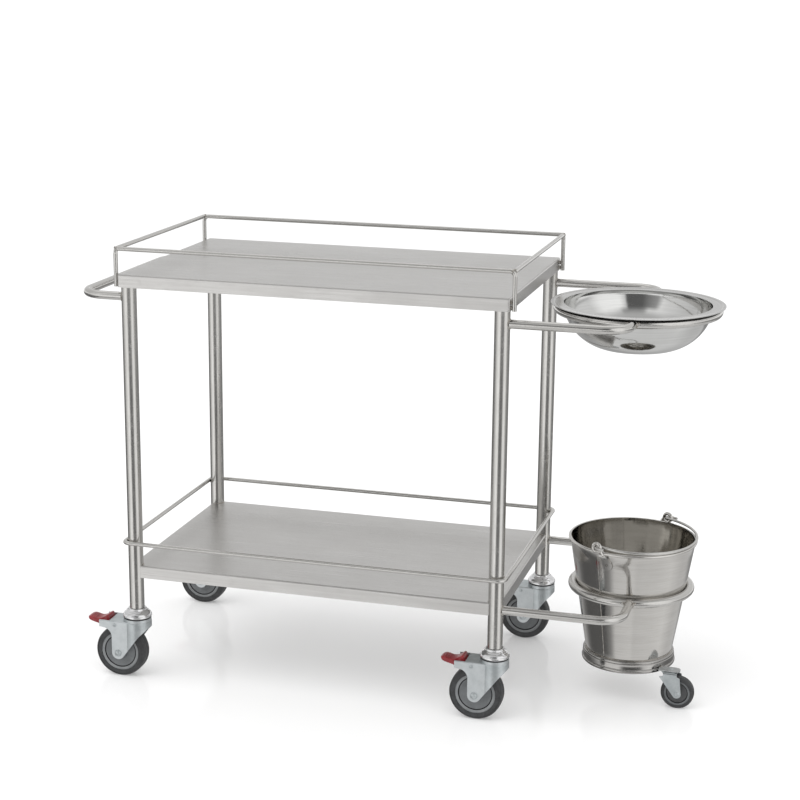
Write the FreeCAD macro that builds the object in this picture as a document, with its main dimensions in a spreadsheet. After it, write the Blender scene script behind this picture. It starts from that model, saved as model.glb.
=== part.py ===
import FreeCAD, Part
import math
import os
import re
import Sketcher
from FreeCAD import Placement, Rotation, Vector

# Dressing trolley. Millimetres, +Z up, the floor at Z = 0, the length along X:
# push handle at -X, bowl and bucket at +X, the front side at -Y.

doc = FreeCAD.newDocument("dressing_trolley")
sheet = doc.addObject("Spreadsheet::Sheet", "sizes")

DIMENSIONS = {
    # frame
    "leg_diameter": 28,
    "leg_wall": 1.2,
    "leg_spacing_long": 704,
    "leg_spacing_wide": 424,
    "leg_foot_height": 140,
    "sheet_gauge": 1.2,
    "skirt_depth": 24,
    "skirt_radius": 3,
    "leg_to_skirt_gap": 0.3,
    "top_shelf_height": 788,
    "lower_shelf_height": 226,
    "lower_shelf_overhang": 8,
    # guard rails
    "rail_rod": 8,
    "rail_bend": 9,
    "upper_rail_rise": 50,
    "post_gap": 2.5,
    "post_inset": 9.5,
    "lower_rail_rise": 46.5,
    "lower_rail_corner": 14,
    # handle, rings and their arms
    "tube_diameter": 16,
    "tube_wall": 1.2,
    "handle_drop": 43,
    "handle_reach": 100,
    "handle_bend": 48,
    "bowl_centre": 556.5,
    "bowl_ring_drop": 48,
    "bowl_ring_gap": 1.16,
    "bucket_centre": 565,
    "bucket_ring_height": 212,
    "arm_straight": 22.2,
    "arm_landing": 14,
    # bowl
    "bowl_rim_radius": 158.7,
    "bowl_mouth_radius": 136.4,
    "bowl_step_radius": 153.6,
    "bowl_step_rise": 1,
    "bowl_depth": 78,
    "bowl_base_radius": 72,
    "bowl_wall_curve": 92,
    "bowl_gauge": 1.2,
    "rest_gap": 0.3,
    # bucket
    "bucket_rim_height": 306.5,
    "bucket_rim_radius": 120,
    "bucket_bead": 6,
    "bucket_mouth_radius": 116.4,
    "bucket_base_radius": 81,
    "bucket_base_height": 84.5,
    "bucket_gauge": 1.2,
    "foot_band_radius": 88,
    "foot_band_bottom": 64.5,
    "foot_band_top": 88,
    "foot_band_gauge": 1.5,
    # bail handle and its ears
    "ear_angle": 66,
    "ear_rise": 8,
    "ear_radius": 10.5,
    "ear_pad_radius": 9.5,
    "ear_pad_side": 16,
    "ear_pad_drop": 18,
    "ear_gauge": 2,
    "ear_hole_gap": 0.4,
    "bail_wire": 5,
    "bail_bend": 4,
    "bail_hook": 18,
    "bail_hook_gap": 2.5,
    "bail_spread": 5.2,
    # main castors
    "wheel_diameter": 100,
    "tyre_width": 30,
    "tyre_depth": 12,
    "tyre_shoulder": 4,
    "trail": 32,
    "fork_top": 114,
    "fork_gauge": 2.4,
    "fork_width": 48,
    "fork_tip": 70,
    "fork_slot": 50,
    "fork_skirt": 12.5,
    "fork_foot_radius": 12.5,
    "swivel_radius": 27,
    "race_height": 5.5,
    "seal_height": 2.2,
    "swivel_gap": 0.3,
    "cup_radius": 27.5,
    "cup_band": 5,
    "cup_shoulder": 17,
    "stem_diameter": 12,
    "stem_reach": 50,
    "kingpin_head": 20,
    "kingpin_head_height": 6,
    "running_gap": 0.05,
    "axle_diameter": 8,
    "axle_head": 13,
    "axle_head_height": 4,
    "bearing_diameter": 22,
    "bearing_width": 7,
    "hub_width": 36,
    "hub_rim_width": 28,
    "hub_disc_width": 25,
    "hub_boss_radius": 14.5,
    "hub_ring_inner": 32.2,
    "hub_groove": 1.6,
    "pedal_pin": 5,
    "pedal_pin_back": 38,
    "pedal_pin_height": 106.3,
    "pedal_boss": 4.6,
    "pedal_width": 28,
    # small castor under the bucket
    "mini_wheel": 62,
    "mini_tyre_width": 18,
    "mini_tyre_depth": 7,
    "mini_trail": 14,
    "mini_boss": 8,
    "mini_angle": -34,
    "mini_radius": 108,
    "mini_plate_in": 22.5,
    "mini_plate_out": 18.5,
    "mini_plate_wide": 36,
    "mini_plate_gauge": 3,
    "mini_plate_rise": 7.2,
    "mini_crown": 12.5,
    "mini_fork_width": 30,
    "mini_fork_gauge": 2,
    "mini_axle": 6,
    "mini_pin": 8,
}
for row, (alias, number) in enumerate(DIMENSIONS.items(), start=1):
    sheet.set("A%d" % row, alias)
    sheet.set("B%d" % row, str(number))
    sheet.setAlias("B%d" % row, alias)
doc.recompute()

NODES = {}
CORNERS = {
    "front_left": (-1, -1),
    "front_right": (1, -1),
    "back_left": (-1, 1),
    "back_right": (1, 1),
}
LEG_X = "leg_spacing_long / 2"
LEG_Y = "leg_spacing_wide / 2"
LEG_R = "leg_diameter / 2"
# Half the difference between the reach at the bowl's end and at the handle's end:
# moving everything by it puts the origin under the middle of the whole length.
SHIFT_X = ("(leg_spacing_long / 2 + handle_reach + tube_diameter / 2"
           " - bowl_centre - bowl_rim_radius) / 2")


# Helpers.

def bound(expression):
    """Write each size in an expression as a reference to its sheet cell."""
    def cell(match):
        word = match.group(0)
        return "sizes." + word if word in DIMENSIONS else word
    return re.sub(r"[a-z_]+", cell, expression)


def value(expression):
    """Work an expression out to a plain number."""
    result = sheet.evalExpression(bound(str(expression)))
    return float(getattr(result, "Value", result))


def bind(obj, prop, expression):
    """Tie a property to the sheet."""
    obj.setExpression(prop, bound(str(expression)))


def place(obj, base_x="0", base_y="0", base_z="0", turn=0.0):
    """Put an object at bound frame coordinates, turned about Z or by a rotation."""
    spots = ("%s + %s" % (base_x, SHIFT_X), base_y, base_z)
    if not isinstance(turn, Rotation):
        turn = Rotation(Vector(0, 0, 1), turn)
    obj.Placement = Placement(Vector(*[value(spot) for spot in spots]), turn)
    for axis, expression in zip("xyz", spots):
        bind(obj, "Placement.Base." + axis, expression)


def node(name, obj):
    """Register an object under the name of its exported node."""
    obj.Label = name
    NODES[name] = obj
    return obj


def new_body(name):
    return doc.addObject("PartDesign::Body", name)


def group(name, members):
    """Several like solids that share one node."""
    compound = doc.addObject("Part::Compound", name)
    compound.Links = members
    return node(name, compound)


def new_sketch(body, name, plane, shift="0"):
    """A sketch on one of the body's own origin planes, moved along its normal."""
    sketch = body.newObject("Sketcher::SketchObject", name)
    support = [f for f in body.Origin.OriginFeatures if f.Name.startswith(plane)][0]
    sketch.AttachmentSupport = [(support, "")]
    sketch.MapMode = "FlatFace"
    sketch.AttachmentOffset = Placement(Vector(0, 0, value(shift)), Rotation())
    bind(sketch, "AttachmentOffset.Base.z", shift)
    return sketch


def pin_point(sketch, index, corner, point):
    """Fix one end of a line or arc at bound coordinates."""
    for kind, expression in zip(("DistanceX", "DistanceY"), point):
        number = value(expression)
        row = sketch.addConstraint(Sketcher.Constraint(kind, -1, 1, index, corner, number))
        bind(sketch, "Constraints[%d]" % row, expression)


def outline(sketch, points, closed=True):
    """Draw straight and round stretches through bound points.

    A point is (x, y), or (x, y, radius) where an arc leads to it. A positive
    radius turns anticlockwise.
    """
    spots = [(value(p[0]), value(p[1])) for p in points]
    count = len(points)
    first = 0 if closed else 1
    previous = None
    opening = None
    for i in range(first, count):
        ax, ay = spots[i - 1]
        bx, by = spots[i]
        if len(points[i]) == 2:
            line = Part.LineSegment(Vector(ax, ay, 0), Vector(bx, by, 0))
            index = sketch.addGeometry(line, False)
            start, end = 1, 2
        else:
            radius = value(points[i][2])
            chord = math.hypot(bx - ax, by - ay)
            rise = math.sqrt(max(radius * radius - chord * chord / 4, 0))
            side = 1 if radius > 0 else -1
            cx = (ax + bx) / 2 - side * rise * (by - ay) / chord
            cy = (ay + by) / 2 + side * rise * (bx - ax) / chord
            from_angle = math.atan2(ay - cy, ax - cx)
            to_angle = math.atan2(by - cy, bx - cx)
            if side < 0:
                from_angle, to_angle = to_angle, from_angle
            while to_angle < from_angle:
                to_angle += 2 * math.pi
            circle = Part.Circle(Vector(cx, cy, 0), Vector(0, 0, 1), abs(radius))
            arc = Part.ArcOfCircle(circle, from_angle, to_angle)
            index = sketch.addGeometry(arc, False)
            start, end = (1, 2) if side > 0 else (2, 1)
            row = sketch.addConstraint(Sketcher.Constraint("Radius", index, abs(radius)))
            bind(sketch, "Constraints[%d]" % row, "abs(%s)" % points[i][2])
        pin_point(sketch, index, end, points[i][:2])
        if previous is None:
            opening = (index, start)
            if not closed:
                pin_point(sketch, index, start, points[i - 1][:2])
        else:
            sketch.addConstraint(Sketcher.Constraint("Coincident", *previous, index, start))
        previous = (index, end)
    if closed:
        sketch.addConstraint(Sketcher.Constraint("Coincident", *previous, *opening))
    return sketch


def circles(sketch, *rings):
    """Draw circles given as (x, y, radius)."""
    for x, y, radius in rings:
        spot = Vector(value(x), value(y), 0)
        circle = Part.Circle(spot, Vector(0, 0, 1), value(radius))
        index = sketch.addGeometry(circle, False)
        pin_point(sketch, index, 3, (x, y))
        row = sketch.addConstraint(Sketcher.Constraint("Radius", index, value(radius)))
        bind(sketch, "Constraints[%d]" % row, radius)
    return sketch


def rectangle(sketch, left, bottom, right, top):
    points = [(left, bottom), (right, bottom), (right, top), (left, top)]
    return outline(sketch, points)


def pad(body, sketch, length, midplane=False, reverse=False):
    feature = body.newObject("PartDesign::Pad", sketch.Name + "_pad")
    feature.Profile = sketch
    bind(feature, "Length", length)
    feature.Midplane = midplane
    feature.Reversed = reverse
    return feature


def pocket(body, sketch, length=None, reverse=False):
    """A pocket of one depth, or through everything on both sides."""
    feature = body.newObject("PartDesign::Pocket", sketch.Name + "_pocket")
    feature.Profile = sketch
    if length is None:
        feature.Type = "ThroughAll"
        feature.Midplane = True
    else:
        bind(feature, "Length", length)
        feature.Reversed = reverse
    return feature


def revolve(body, sketch, axis):
    """Turn a profile about one of the sketch's own axes."""
    feature = body.newObject("PartDesign::Revolution", sketch.Name + "_turn")
    feature.Profile = sketch
    feature.ReferenceAxis = (sketch, [axis])
    feature.Angle = 360
    return feature


def turned(name, points, base=("0", "0", "0"), turn=0.0):
    """A solid of revolution about Z from an (r, z) outline."""
    body = new_body(name)
    profile = new_sketch(body, name + "_profile", "XZ_Plane")
    outline(profile, points)
    revolve(body, profile, "V_Axis")
    place(body, *base, turn)
    return body


def rolled(name, points, base=("0", "0", "0"), turn=0.0):
    """A solid of revolution about Y from an (r, y) outline."""
    body = new_body(name)
    profile = new_sketch(body, name + "_profile", "XY_Plane")
    outline(profile, points)
    revolve(body, profile, "V_Axis")
    place(body, *base, turn)
    return body


def pipe(name, plane, path_points, end_plane, end_shift, end_spot, outer, inner=None):
    """Sweep a round section along a bent centre line.

    path_points lie on the plane; the section sits on end_plane at the start.
    """
    body = new_body(name)
    path = new_sketch(body, name + "_path", plane)
    outline(path, path_points, closed=False)
    section = new_sketch(body, name + "_section", end_plane, end_shift)
    circles(section, (*end_spot, outer))
    sweep = body.newObject("PartDesign::AdditivePipe", name + "_sweep")
    sweep.Profile = section
    sweep.Spine = path
    if inner is not None:
        hollow = new_sketch(body, name + "_hollow", end_plane, end_shift)
        circles(hollow, (*end_spot, inner))
        bore = body.newObject("PartDesign::SubtractivePipe", name + "_bore")
        bore.Profile = hollow
        bore.Spine = path
    return body


def round_edges(body, name, radius, wanted):
    """Fillet the edges of the body's tip that the test accepts."""
    doc.recompute()
    tip = body.Tip
    names = []
    for i, edge in enumerate(tip.Shape.Edges, start=1):
        if wanted(edge):
            names.append("Edge%d" % i)
    fillet = body.newObject("PartDesign::Fillet", name)
    fillet.Base = (tip, names)
    bind(fillet, "Radius", radius)
    return fillet


def at_height(edge, height):
    box = edge.BoundBox
    return abs(box.ZMin - height) < 1e-3 and abs(box.ZMax - height) < 1e-3


# Frame.

def leg(corner):
    """Round tube from the castor's cup up to the underside of the top shelf."""
    side_x, side_y = CORNERS[corner]
    body = new_body("leg_" + corner)
    section = new_sketch(body, "leg_section_" + corner, "XY_Plane")
    circles(section, ("0", "0", LEG_R), ("0", "0", LEG_R + " - leg_wall"))
    pad(body, section, "top_shelf_height - sheet_gauge - leg_foot_height")
    place(body, "%d * %s" % (side_x, LEG_X), "%d * %s" % (side_y, LEG_Y), "leg_foot_height")
    node("leg_" + corner, body)


def tray(name, half_long, half_wide, top):
    """Pressed shelf: flat deck with a skirt folded down all round."""
    body = new_body(name)
    blank = new_sketch(body, name + "_blank", "XY_Plane")
    rectangle(blank, "-(%s)" % half_long, "-(%s)" % half_wide, half_long, half_wide)
    pad(body, blank, "skirt_depth")
    depth = value("skirt_depth")
    round_edges(body, name + "_fold", "skirt_radius",
                lambda e: at_height(e, depth) or e.Length < depth + 1)
    inner = new_sketch(body, name + "_inner", "XY_Plane")
    in_long = half_long + " - sheet_gauge"
    in_wide = half_wide + " - sheet_gauge"
    rectangle(inner, "-(%s)" % in_long, "-(%s)" % in_wide, in_long, in_wide)
    pocket(body, inner, "skirt_depth - sheet_gauge", reverse=True)
    place(body, base_z=top + " - skirt_depth")
    return node(name, body)


TOP_HALF_LONG = "%s + %s + leg_to_skirt_gap + sheet_gauge" % (LEG_X, LEG_R)
TOP_HALF_WIDE = "%s + %s + leg_to_skirt_gap + sheet_gauge" % (LEG_Y, LEG_R)


def top_shelf():
    tray("top_shelf", TOP_HALF_LONG, TOP_HALF_WIDE, "top_shelf_height")


def lower_shelf():
    """The same tray, smaller, its corners notched round the legs."""
    half_long = LEG_X + " + lower_shelf_overhang"
    half_wide = LEG_Y + " + lower_shelf_overhang"
    body = tray("lower_shelf", half_long, half_wide, "lower_shelf_height")
    notches = new_sketch(body, "lower_shelf_notches", "XY_Plane", "skirt_depth")
    notch = LEG_R + " + running_gap"
    spots = [("%d * %s" % (x, LEG_X), "%d * %s" % (y, LEG_Y)) for x, y in CORNERS.values()]
    circles(notches, *[(x, y, notch) for x, y in spots])
    pocket(body, notches)


POST_X = TOP_HALF_LONG + " + post_gap + rail_rod / 2"
POST_Y = TOP_HALF_WIDE + " - post_inset"
RAIL_Z = "top_shelf_height + upper_rail_rise - rail_rod / 2"
POST_FOOT = "top_shelf_height - skirt_depth"


def upper_rail(name, span, height, across, side_x, side_y):
    """Rod that runs along one side and bends down into a corner post.

    Its other end butts against the next rod's bend.
    """
    butt = "%s - rail_rod / 2" % span
    points = [
        ("-(%s)" % butt, height),
        ("%s - rail_bend" % span, height),
        (span, height + " - rail_bend", "-rail_bend"),
        (span, "0"),
    ]
    rod = "rail_rod / 2"
    body = pipe(name, "XZ_Plane", points, "YZ_Plane", "-(%s)" % butt, ("0", height), rod)
    turns = {(0, -1): 0, (1, 0): 90, (0, 1): 180, (-1, 0): 270}
    base_x = "%d * (%s)" % (side_x, across) if side_x else "0"
    base_y = "%d * (%s)" % (side_y, across) if side_y else "0"
    place(body, base_x, base_y, POST_FOOT, turns[(side_x, side_y)])
    node(name, body)


def upper_rails():
    height = "(%s) - (%s)" % (RAIL_Z, POST_FOOT)
    long_span = "(%s)" % POST_X
    wide_span = "(%s)" % POST_Y
    upper_rail("upper_rail_front", long_span, height, POST_Y, 0, -1)
    upper_rail("upper_rail_right", wide_span, height, POST_X, 1, 0)
    upper_rail("upper_rail_back", long_span, height, POST_Y, 0, 1)
    upper_rail("upper_rail_left", wide_span, height, POST_X, -1, 0)


def rail_weld_tabs():
    """Small round pegs that tie each post to the top shelf's skirt."""
    tabs = []
    for corner, (side_x, side_y) in CORNERS.items():
        for level, drop in enumerate(("skirt_depth * 0.35", "skirt_depth * 0.75")):
            tab = doc.addObject("Part::Cylinder", "tab_%s_%d" % (corner, level))
            bind(tab, "Radius", "rail_rod * 0.35")
            bind(tab, "Height", "post_gap - running_gap")
            spot_x = "%d * (%s)" % (side_x, TOP_HALF_LONG)
            spot_y = "%d * (%s)" % (side_y, POST_Y)
            outward = Rotation(Vector(0, side_x, 0), 90)
            place(tab, spot_x, spot_y, "top_shelf_height - " + drop, outward)
            tabs.append(tab)
    group("rail_weld_tabs", tabs)


def lower_guard_rail():
    """One closed rod, welded to the outer sides of all four legs."""
    body = new_body("lower_guard_rail")
    half_long = "%s + %s + rail_rod / 2" % (LEG_X, LEG_R)
    half_wide = "%s + %s + rail_rod / 2" % (LEG_Y, LEG_R)
    bend = "lower_rail_corner"
    path = new_sketch(body, "lower_rail_path", "XY_Plane")
    points = []
    for sx, sy in ((1, -1), (1, 1), (-1, 1), (-1, -1)):
        corner_x = "%d * (%s)" % (sx, half_long)
        corner_y = "%d * (%s)" % (sy, half_wide)
        short_x = "%d * (%s - %s)" % (sx, half_long, bend)
        short_y = "%d * (%s - %s)" % (sy, half_wide, bend)
        if sx * sy < 0:
            points += [(short_x, corner_y), (corner_x, short_y, bend)]
        else:
            points += [(corner_x, short_y), (short_x, corner_y, bend)]
    outline(path, points)
    section = new_sketch(body, "lower_rail_section", "YZ_Plane")
    circles(section, ("-(%s)" % half_wide, "0", "rail_rod / 2"))
    sweep = body.newObject("PartDesign::AdditivePipe", "lower_rail_sweep")
    sweep.Profile = section
    sweep.Spine = path
    place(body, base_z="lower_shelf_height + lower_rail_rise")
    node("lower_guard_rail", body)


TUBE_R = "tube_diameter / 2"
TUBE_BORE = TUBE_R + " - tube_wall"


def push_handle():
    """U of tube that leaves the left legs and returns across the end."""
    near = "-(%s + %s)" % (LEG_X, LEG_R)
    far = "-(%s + handle_reach)" % LEG_X
    bend = "handle_bend"
    points = [
        (near, "-" + LEG_Y),
        ("%s + %s" % (far, bend), "-" + LEG_Y),
        (far, "-%s + %s" % (LEG_Y, bend), "-" + bend),
        (far, "%s - %s" % (LEG_Y, bend)),
        ("%s + %s" % (far, bend), LEG_Y, "-" + bend),
        (near, LEG_Y),
    ]
    spot = ("-" + LEG_Y, "0")
    body = pipe("push_handle", "XY_Plane", points, "YZ_Plane", near, spot, TUBE_R, TUBE_BORE)
    place(body, base_z="top_shelf_height - handle_drop")
    node("push_handle", body)


BOWL_RING_Z = "(top_shelf_height - bowl_ring_drop)"
BOWL_RING_R = "(bowl_mouth_radius + bowl_gauge * 0.2 + bowl_ring_gap + %s)" % TUBE_R
# Both pairs of arms share the bend that fits between a leg and the bowl's ring.
ARM_BEND = "(%s - %s - arm_straight)" % (LEG_Y, BOWL_RING_R)


def carrier(name, centre, height, radius):
    """Tube ring held between two arms that leave the right legs.

    Each arm runs straight out, turns in one bend and ends in a saddle on the ring.
    """
    ring = new_body(name + "_ring")
    section = new_sketch(ring, name + "_ring_section", "XZ_Plane")
    circles(section, (radius, "0", TUBE_R), (radius, "0", TUBE_BORE))
    revolve(ring, section, "V_Axis")
    place(ring, centre, "0", height)
    node(name + "_ring", ring)
    near = "%s + %s - %s" % (LEG_X, LEG_R, centre)
    for side, sign in (("front", "-"), ("back", "")):
        arm_name = "%s_arm_%s" % (name, side)
        line = "%s%s" % (sign, LEG_Y)
        turn = ARM_BEND if side == "front" else "-" + ARM_BEND
        inward = "%s(%s - %s)" % (sign, LEG_Y, ARM_BEND)
        touch = "%s(%s + %s * 0.5)" % (sign, radius, TUBE_R)
        points = [
            (near, line),
            ("arm_landing - " + ARM_BEND, line),
            ("arm_landing", inward, turn),
            ("arm_landing", touch),
        ]
        arm = pipe(arm_name, "XY_Plane", points, "YZ_Plane", near, (line, "0"), TUBE_R, TUBE_BORE)
        saddle = new_sketch(arm, arm_name + "_saddle", "XZ_Plane")
        circles(saddle, (radius, "0", TUBE_R + " + rest_gap"))
        groove = arm.newObject("PartDesign::Groove", arm_name + "_saddle_cut")
        groove.Profile = saddle
        groove.ReferenceAxis = (saddle, ["V_Axis"])
        groove.Angle = 360
        place(arm, centre, "0", height)
        node(arm_name, arm)


# Bowl and bucket.

def bowl():
    """Basin with a wide flat rim that rests on its ring."""
    seat = "%s + %s + rest_gap" % (BOWL_RING_Z, TUBE_R)
    floor = "-bowl_depth"
    points = [
        ("0", floor),
        ("bowl_base_radius", floor),
        ("bowl_mouth_radius + bowl_gauge * 0.2", "0", "bowl_wall_curve"),
        ("bowl_step_radius", "0"),
        ("bowl_step_radius", "bowl_step_rise"),
        ("bowl_rim_radius", "bowl_step_rise"),
        ("bowl_rim_radius", "bowl_step_rise + bowl_gauge"),
        ("bowl_step_radius - bowl_gauge", "bowl_step_rise + bowl_gauge"),
        ("bowl_step_radius - bowl_gauge", "bowl_gauge"),
        ("bowl_mouth_radius - bowl_gauge * 0.8", "bowl_gauge"),
        ("bowl_base_radius", "bowl_gauge - bowl_depth", "-(bowl_wall_curve - bowl_gauge)"),
        ("0", "bowl_gauge - bowl_depth"),
    ]
    node("bowl", turned("bowl", points, ("bowl_centre", "0", seat)))


def bucket_radius(height):
    """Outer radius of the tapered wall at a height, as an expression."""
    rise = "(bucket_mouth_radius - bucket_base_radius)"
    run = "(bucket_rim_height - bucket_bead - bucket_base_height)"
    return "bucket_base_radius + %s * (%s - bucket_base_height) / %s" % (rise, height, run)


# The bucket hangs in its ring, so the ring's tube just clears the tapered wall.
BUCKET_SLOPE = ("(bucket_mouth_radius - bucket_base_radius)"
                " / (bucket_rim_height - bucket_bead - bucket_base_height)")
BUCKET_RING_R = "(%s + (%s + running_gap) * sqrt(1 + pow(%s; 2)))" % (
    bucket_radius("bucket_ring_height"), TUBE_R, BUCKET_SLOPE)


def bucket_shell():
    """Tapered pail, one gauge thick, its rim rolled into a bead."""
    wall_top = "bucket_rim_height - bucket_bead"
    bead_base = "bucket_rim_radius - bucket_bead / 2"
    points = [
        ("0", "bucket_base_height"),
        ("bucket_base_radius", "bucket_base_height"),
        ("bucket_mouth_radius", wall_top),
        (bead_base, wall_top),
        (bead_base, "bucket_rim_height", "bucket_bead / 2 + 0.001"),
        ("bucket_mouth_radius - bucket_gauge", "bucket_rim_height"),
        ("bucket_mouth_radius - bucket_gauge", wall_top),
        ("bucket_base_radius - bucket_gauge", "bucket_base_height + bucket_gauge"),
        ("0", "bucket_base_height + bucket_gauge"),
    ]
    node("bucket_shell", turned("bucket_shell", points, ("bucket_centre", "0", "0")))


def bucket_foot_band():
    """Wider band round the pail's foot, turned in at the top to meet the wall."""
    collar = bucket_radius("(foot_band_top - foot_band_gauge)")
    points = [
        ("foot_band_radius - foot_band_gauge", "foot_band_bottom"),
        ("foot_band_radius", "foot_band_bottom"),
        ("foot_band_radius", "foot_band_top - 1"),
        ("foot_band_radius - 1", "foot_band_top"),
        (collar + " + running_gap * 6", "foot_band_top"),
        (collar + " + running_gap", "foot_band_top - foot_band_gauge"),
        ("foot_band_radius - foot_band_gauge", "foot_band_top - foot_band_gauge"),
    ]
    node("bucket_foot_band", turned("bucket_foot_band", points, ("bucket_centre", "0", "0")))


EAR_FACE = "bucket_rim_radius + 0.2"
EAR_EYE = ("0", "0", "ear_radius")
EAR_FOOT = ("ear_pad_side", "-(ear_rise + ear_pad_drop)", "ear_pad_radius")


def rim_point(spot, way, sign):
    """The point one radius out from a round spot, in a given direction."""
    return tuple("%s + %s * %.6f" % (spot[i], spot[2], sign * way[i]) for i in (0, 1))


def ear_outline():
    """The ear's outline, tangent to its eye and to its welded foot."""
    slant = math.hypot(value("ear_pad_side"), value("ear_rise + ear_pad_drop"))
    along = (value("ear_pad_side") / slant, -value("ear_rise + ear_pad_drop") / slant)
    across = (-along[1], along[0])
    return [
        rim_point(EAR_FOOT, across, -1),
        (*rim_point(EAR_FOOT, along, 1), "ear_pad_radius"),
        (*rim_point(EAR_FOOT, across, 1), "ear_pad_radius"),
        rim_point(EAR_EYE, across, 1),
        (*rim_point(EAR_EYE, along, -1), "ear_radius"),
        (*rim_point(EAR_EYE, across, -1), "ear_radius"),
    ]


def bucket_ears():
    """Two stamped ears: an eye above the rim and a pad welded to the wall."""
    ears = []
    turn = value("ear_angle")
    wall = bucket_radius("(bucket_rim_height - ear_pad_drop)")
    for side, angle in (("back", turn), ("front", turn + 180)):
        body = new_body("ear_" + side)
        plate = new_sketch(body, "ear_plate_" + side, "YZ_Plane", EAR_FACE)
        outline(plate, ear_outline())
        pad(body, plate, "ear_gauge")
        post = new_sketch(body, "ear_post_" + side, "YZ_Plane", EAR_FACE)
        circles(post, (EAR_FOOT[0], EAR_FOOT[1], "ear_pad_radius * 0.55"))
        pad(body, post, "bucket_rim_radius - (%s) + 0.6" % wall, reverse=True)
        hole = new_sketch(body, "ear_hole_" + side, "YZ_Plane", EAR_FACE)
        circles(hole, ("0", "0", "bail_wire / 2 + ear_hole_gap"))
        pocket(body, hole)
        place(body, "bucket_centre", "0", "bucket_rim_height + ear_rise", angle)
        ears.append(body)
    group("bucket_ears", ears)


def bucket_bail():
    """Wire handle: a half hoop whose ends pass out through the ears and hook back."""
    hoop = "bucket_rim_radius - bail_spread"
    out = "(%s + ear_gauge + bail_hook_gap + bail_wire / 2)" % EAR_FACE
    bend = "bail_bend"
    points = [
        ("bail_hook", out),
        (bend, out),
        ("0", "%s - %s" % (out, bend), bend),
        ("0", "%s + %s" % (hoop, bend)),
        (bend, hoop, bend),
        ("%s * 3" % bend, hoop),
        ("%s * 3 + %s" % (bend, hoop), "0", "-(%s)" % hoop),
        ("%s * 3" % bend, "-(%s)" % hoop, "-(%s)" % hoop),
        (bend, "-(%s)" % hoop),
        ("0", "-(%s + %s)" % (hoop, bend), bend),
        ("0", "-(%s - %s)" % (out, bend)),
        (bend, "-%s" % out, bend),
        ("bail_hook", "-%s" % out),
    ]
    body = pipe("bucket_bail", "XY_Plane", points, "YZ_Plane", "bail_hook", (out, "0"),
                "bail_wire / 2")
    drop = value("ear_rise - bail_wire / 2 - rest_gap") / value(hoop + " + bail_bend * 3")
    turn = Rotation(Vector(0, 0, 1), value("ear_angle") - 90)
    tilt = Rotation(Vector(0, 1, 0), math.degrees(math.asin(drop)))
    place(body, "bucket_centre", "0", "bucket_rim_height + ear_rise", turn.multiply(tilt))
    node("bucket_bail", body)


# Main castors.

RACE_TOP = "fork_top + race_height"
CUP_BASE = RACE_TOP + " + swivel_gap + seal_height"
AXLE_Z = "wheel_diameter / 2"
FORK_IN = "fork_width / 2 - fork_gauge"


def swivel_heads():
    """What stays with the leg: stem and kingpin, cup, grease seal, tube plug."""
    stems, cups, seals, plugs = [], [], [], []
    stem = "stem_diameter / 2"
    bore = LEG_R + " - leg_wall"
    head_top = "fork_top - fork_gauge - swivel_gap"
    stem_top = "leg_foot_height + stem_reach"
    for corner, (side_x, side_y) in CORNERS.items():
        base = ("%d * %s" % (side_x, LEG_X), "%d * %s" % (side_y, LEG_Y), "0")
        stems.append(turned("stem_" + corner, [
            ("0", head_top + " - kingpin_head_height"),
            ("kingpin_head / 2 - 2", head_top + " - kingpin_head_height"),
            ("kingpin_head / 2", head_top + " - kingpin_head_height + 2"),
            ("kingpin_head / 2", head_top),
            (stem, head_top),
            (stem, stem_top),
            ("0", stem_top),
        ], base))
        cups.append(turned("cup_" + corner, [
            (stem, CUP_BASE),
            ("cup_radius", CUP_BASE),
            ("cup_radius", CUP_BASE + " + cup_band"),
            ("cup_shoulder + 1.5", "leg_foot_height - 2", "cup_radius * 0.6"),
            ("cup_shoulder", "leg_foot_height"),
            (stem, "leg_foot_height"),
        ], base))
        seals.append(turned("seal_" + corner, [
            ("swivel_radius - 9", CUP_BASE + " - seal_height"),
            ("swivel_radius - 0.4", CUP_BASE + " - seal_height"),
            ("swivel_radius - 0.4", CUP_BASE),
            ("swivel_radius - 9", CUP_BASE),
        ], base))
        plugs.append(turned("plug_" + corner, [
            (stem, "leg_foot_height"),
            (bore + " - running_gap", "leg_foot_height"),
            (bore + " - running_gap", stem_top + " - 8"),
            (bore + " - 2", stem_top + " - 5"),
            (stem, stem_top + " - 5"),
        ], base))
    group("caster_stems", stems)
    group("caster_top_cups", cups)
    group("swivel_seals", seals)
    group("leg_socket_plugs", plugs)


def fork_plan(gauge, tip):
    """Plan outline: straight sides that run into a round nose."""
    half = "fork_width / 2 - " + gauge
    nose = "swivel_radius - " + gauge
    meet = "-sqrt(pow(%s; 2) - pow(%s; 2))" % (nose, half)
    return [
        ("-" + tip, "-(%s)" % half),
        (meet, "-(%s)" % half),
        (nose, "0", nose),
        (meet, half, nose),
        ("-" + tip, half),
    ]


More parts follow.
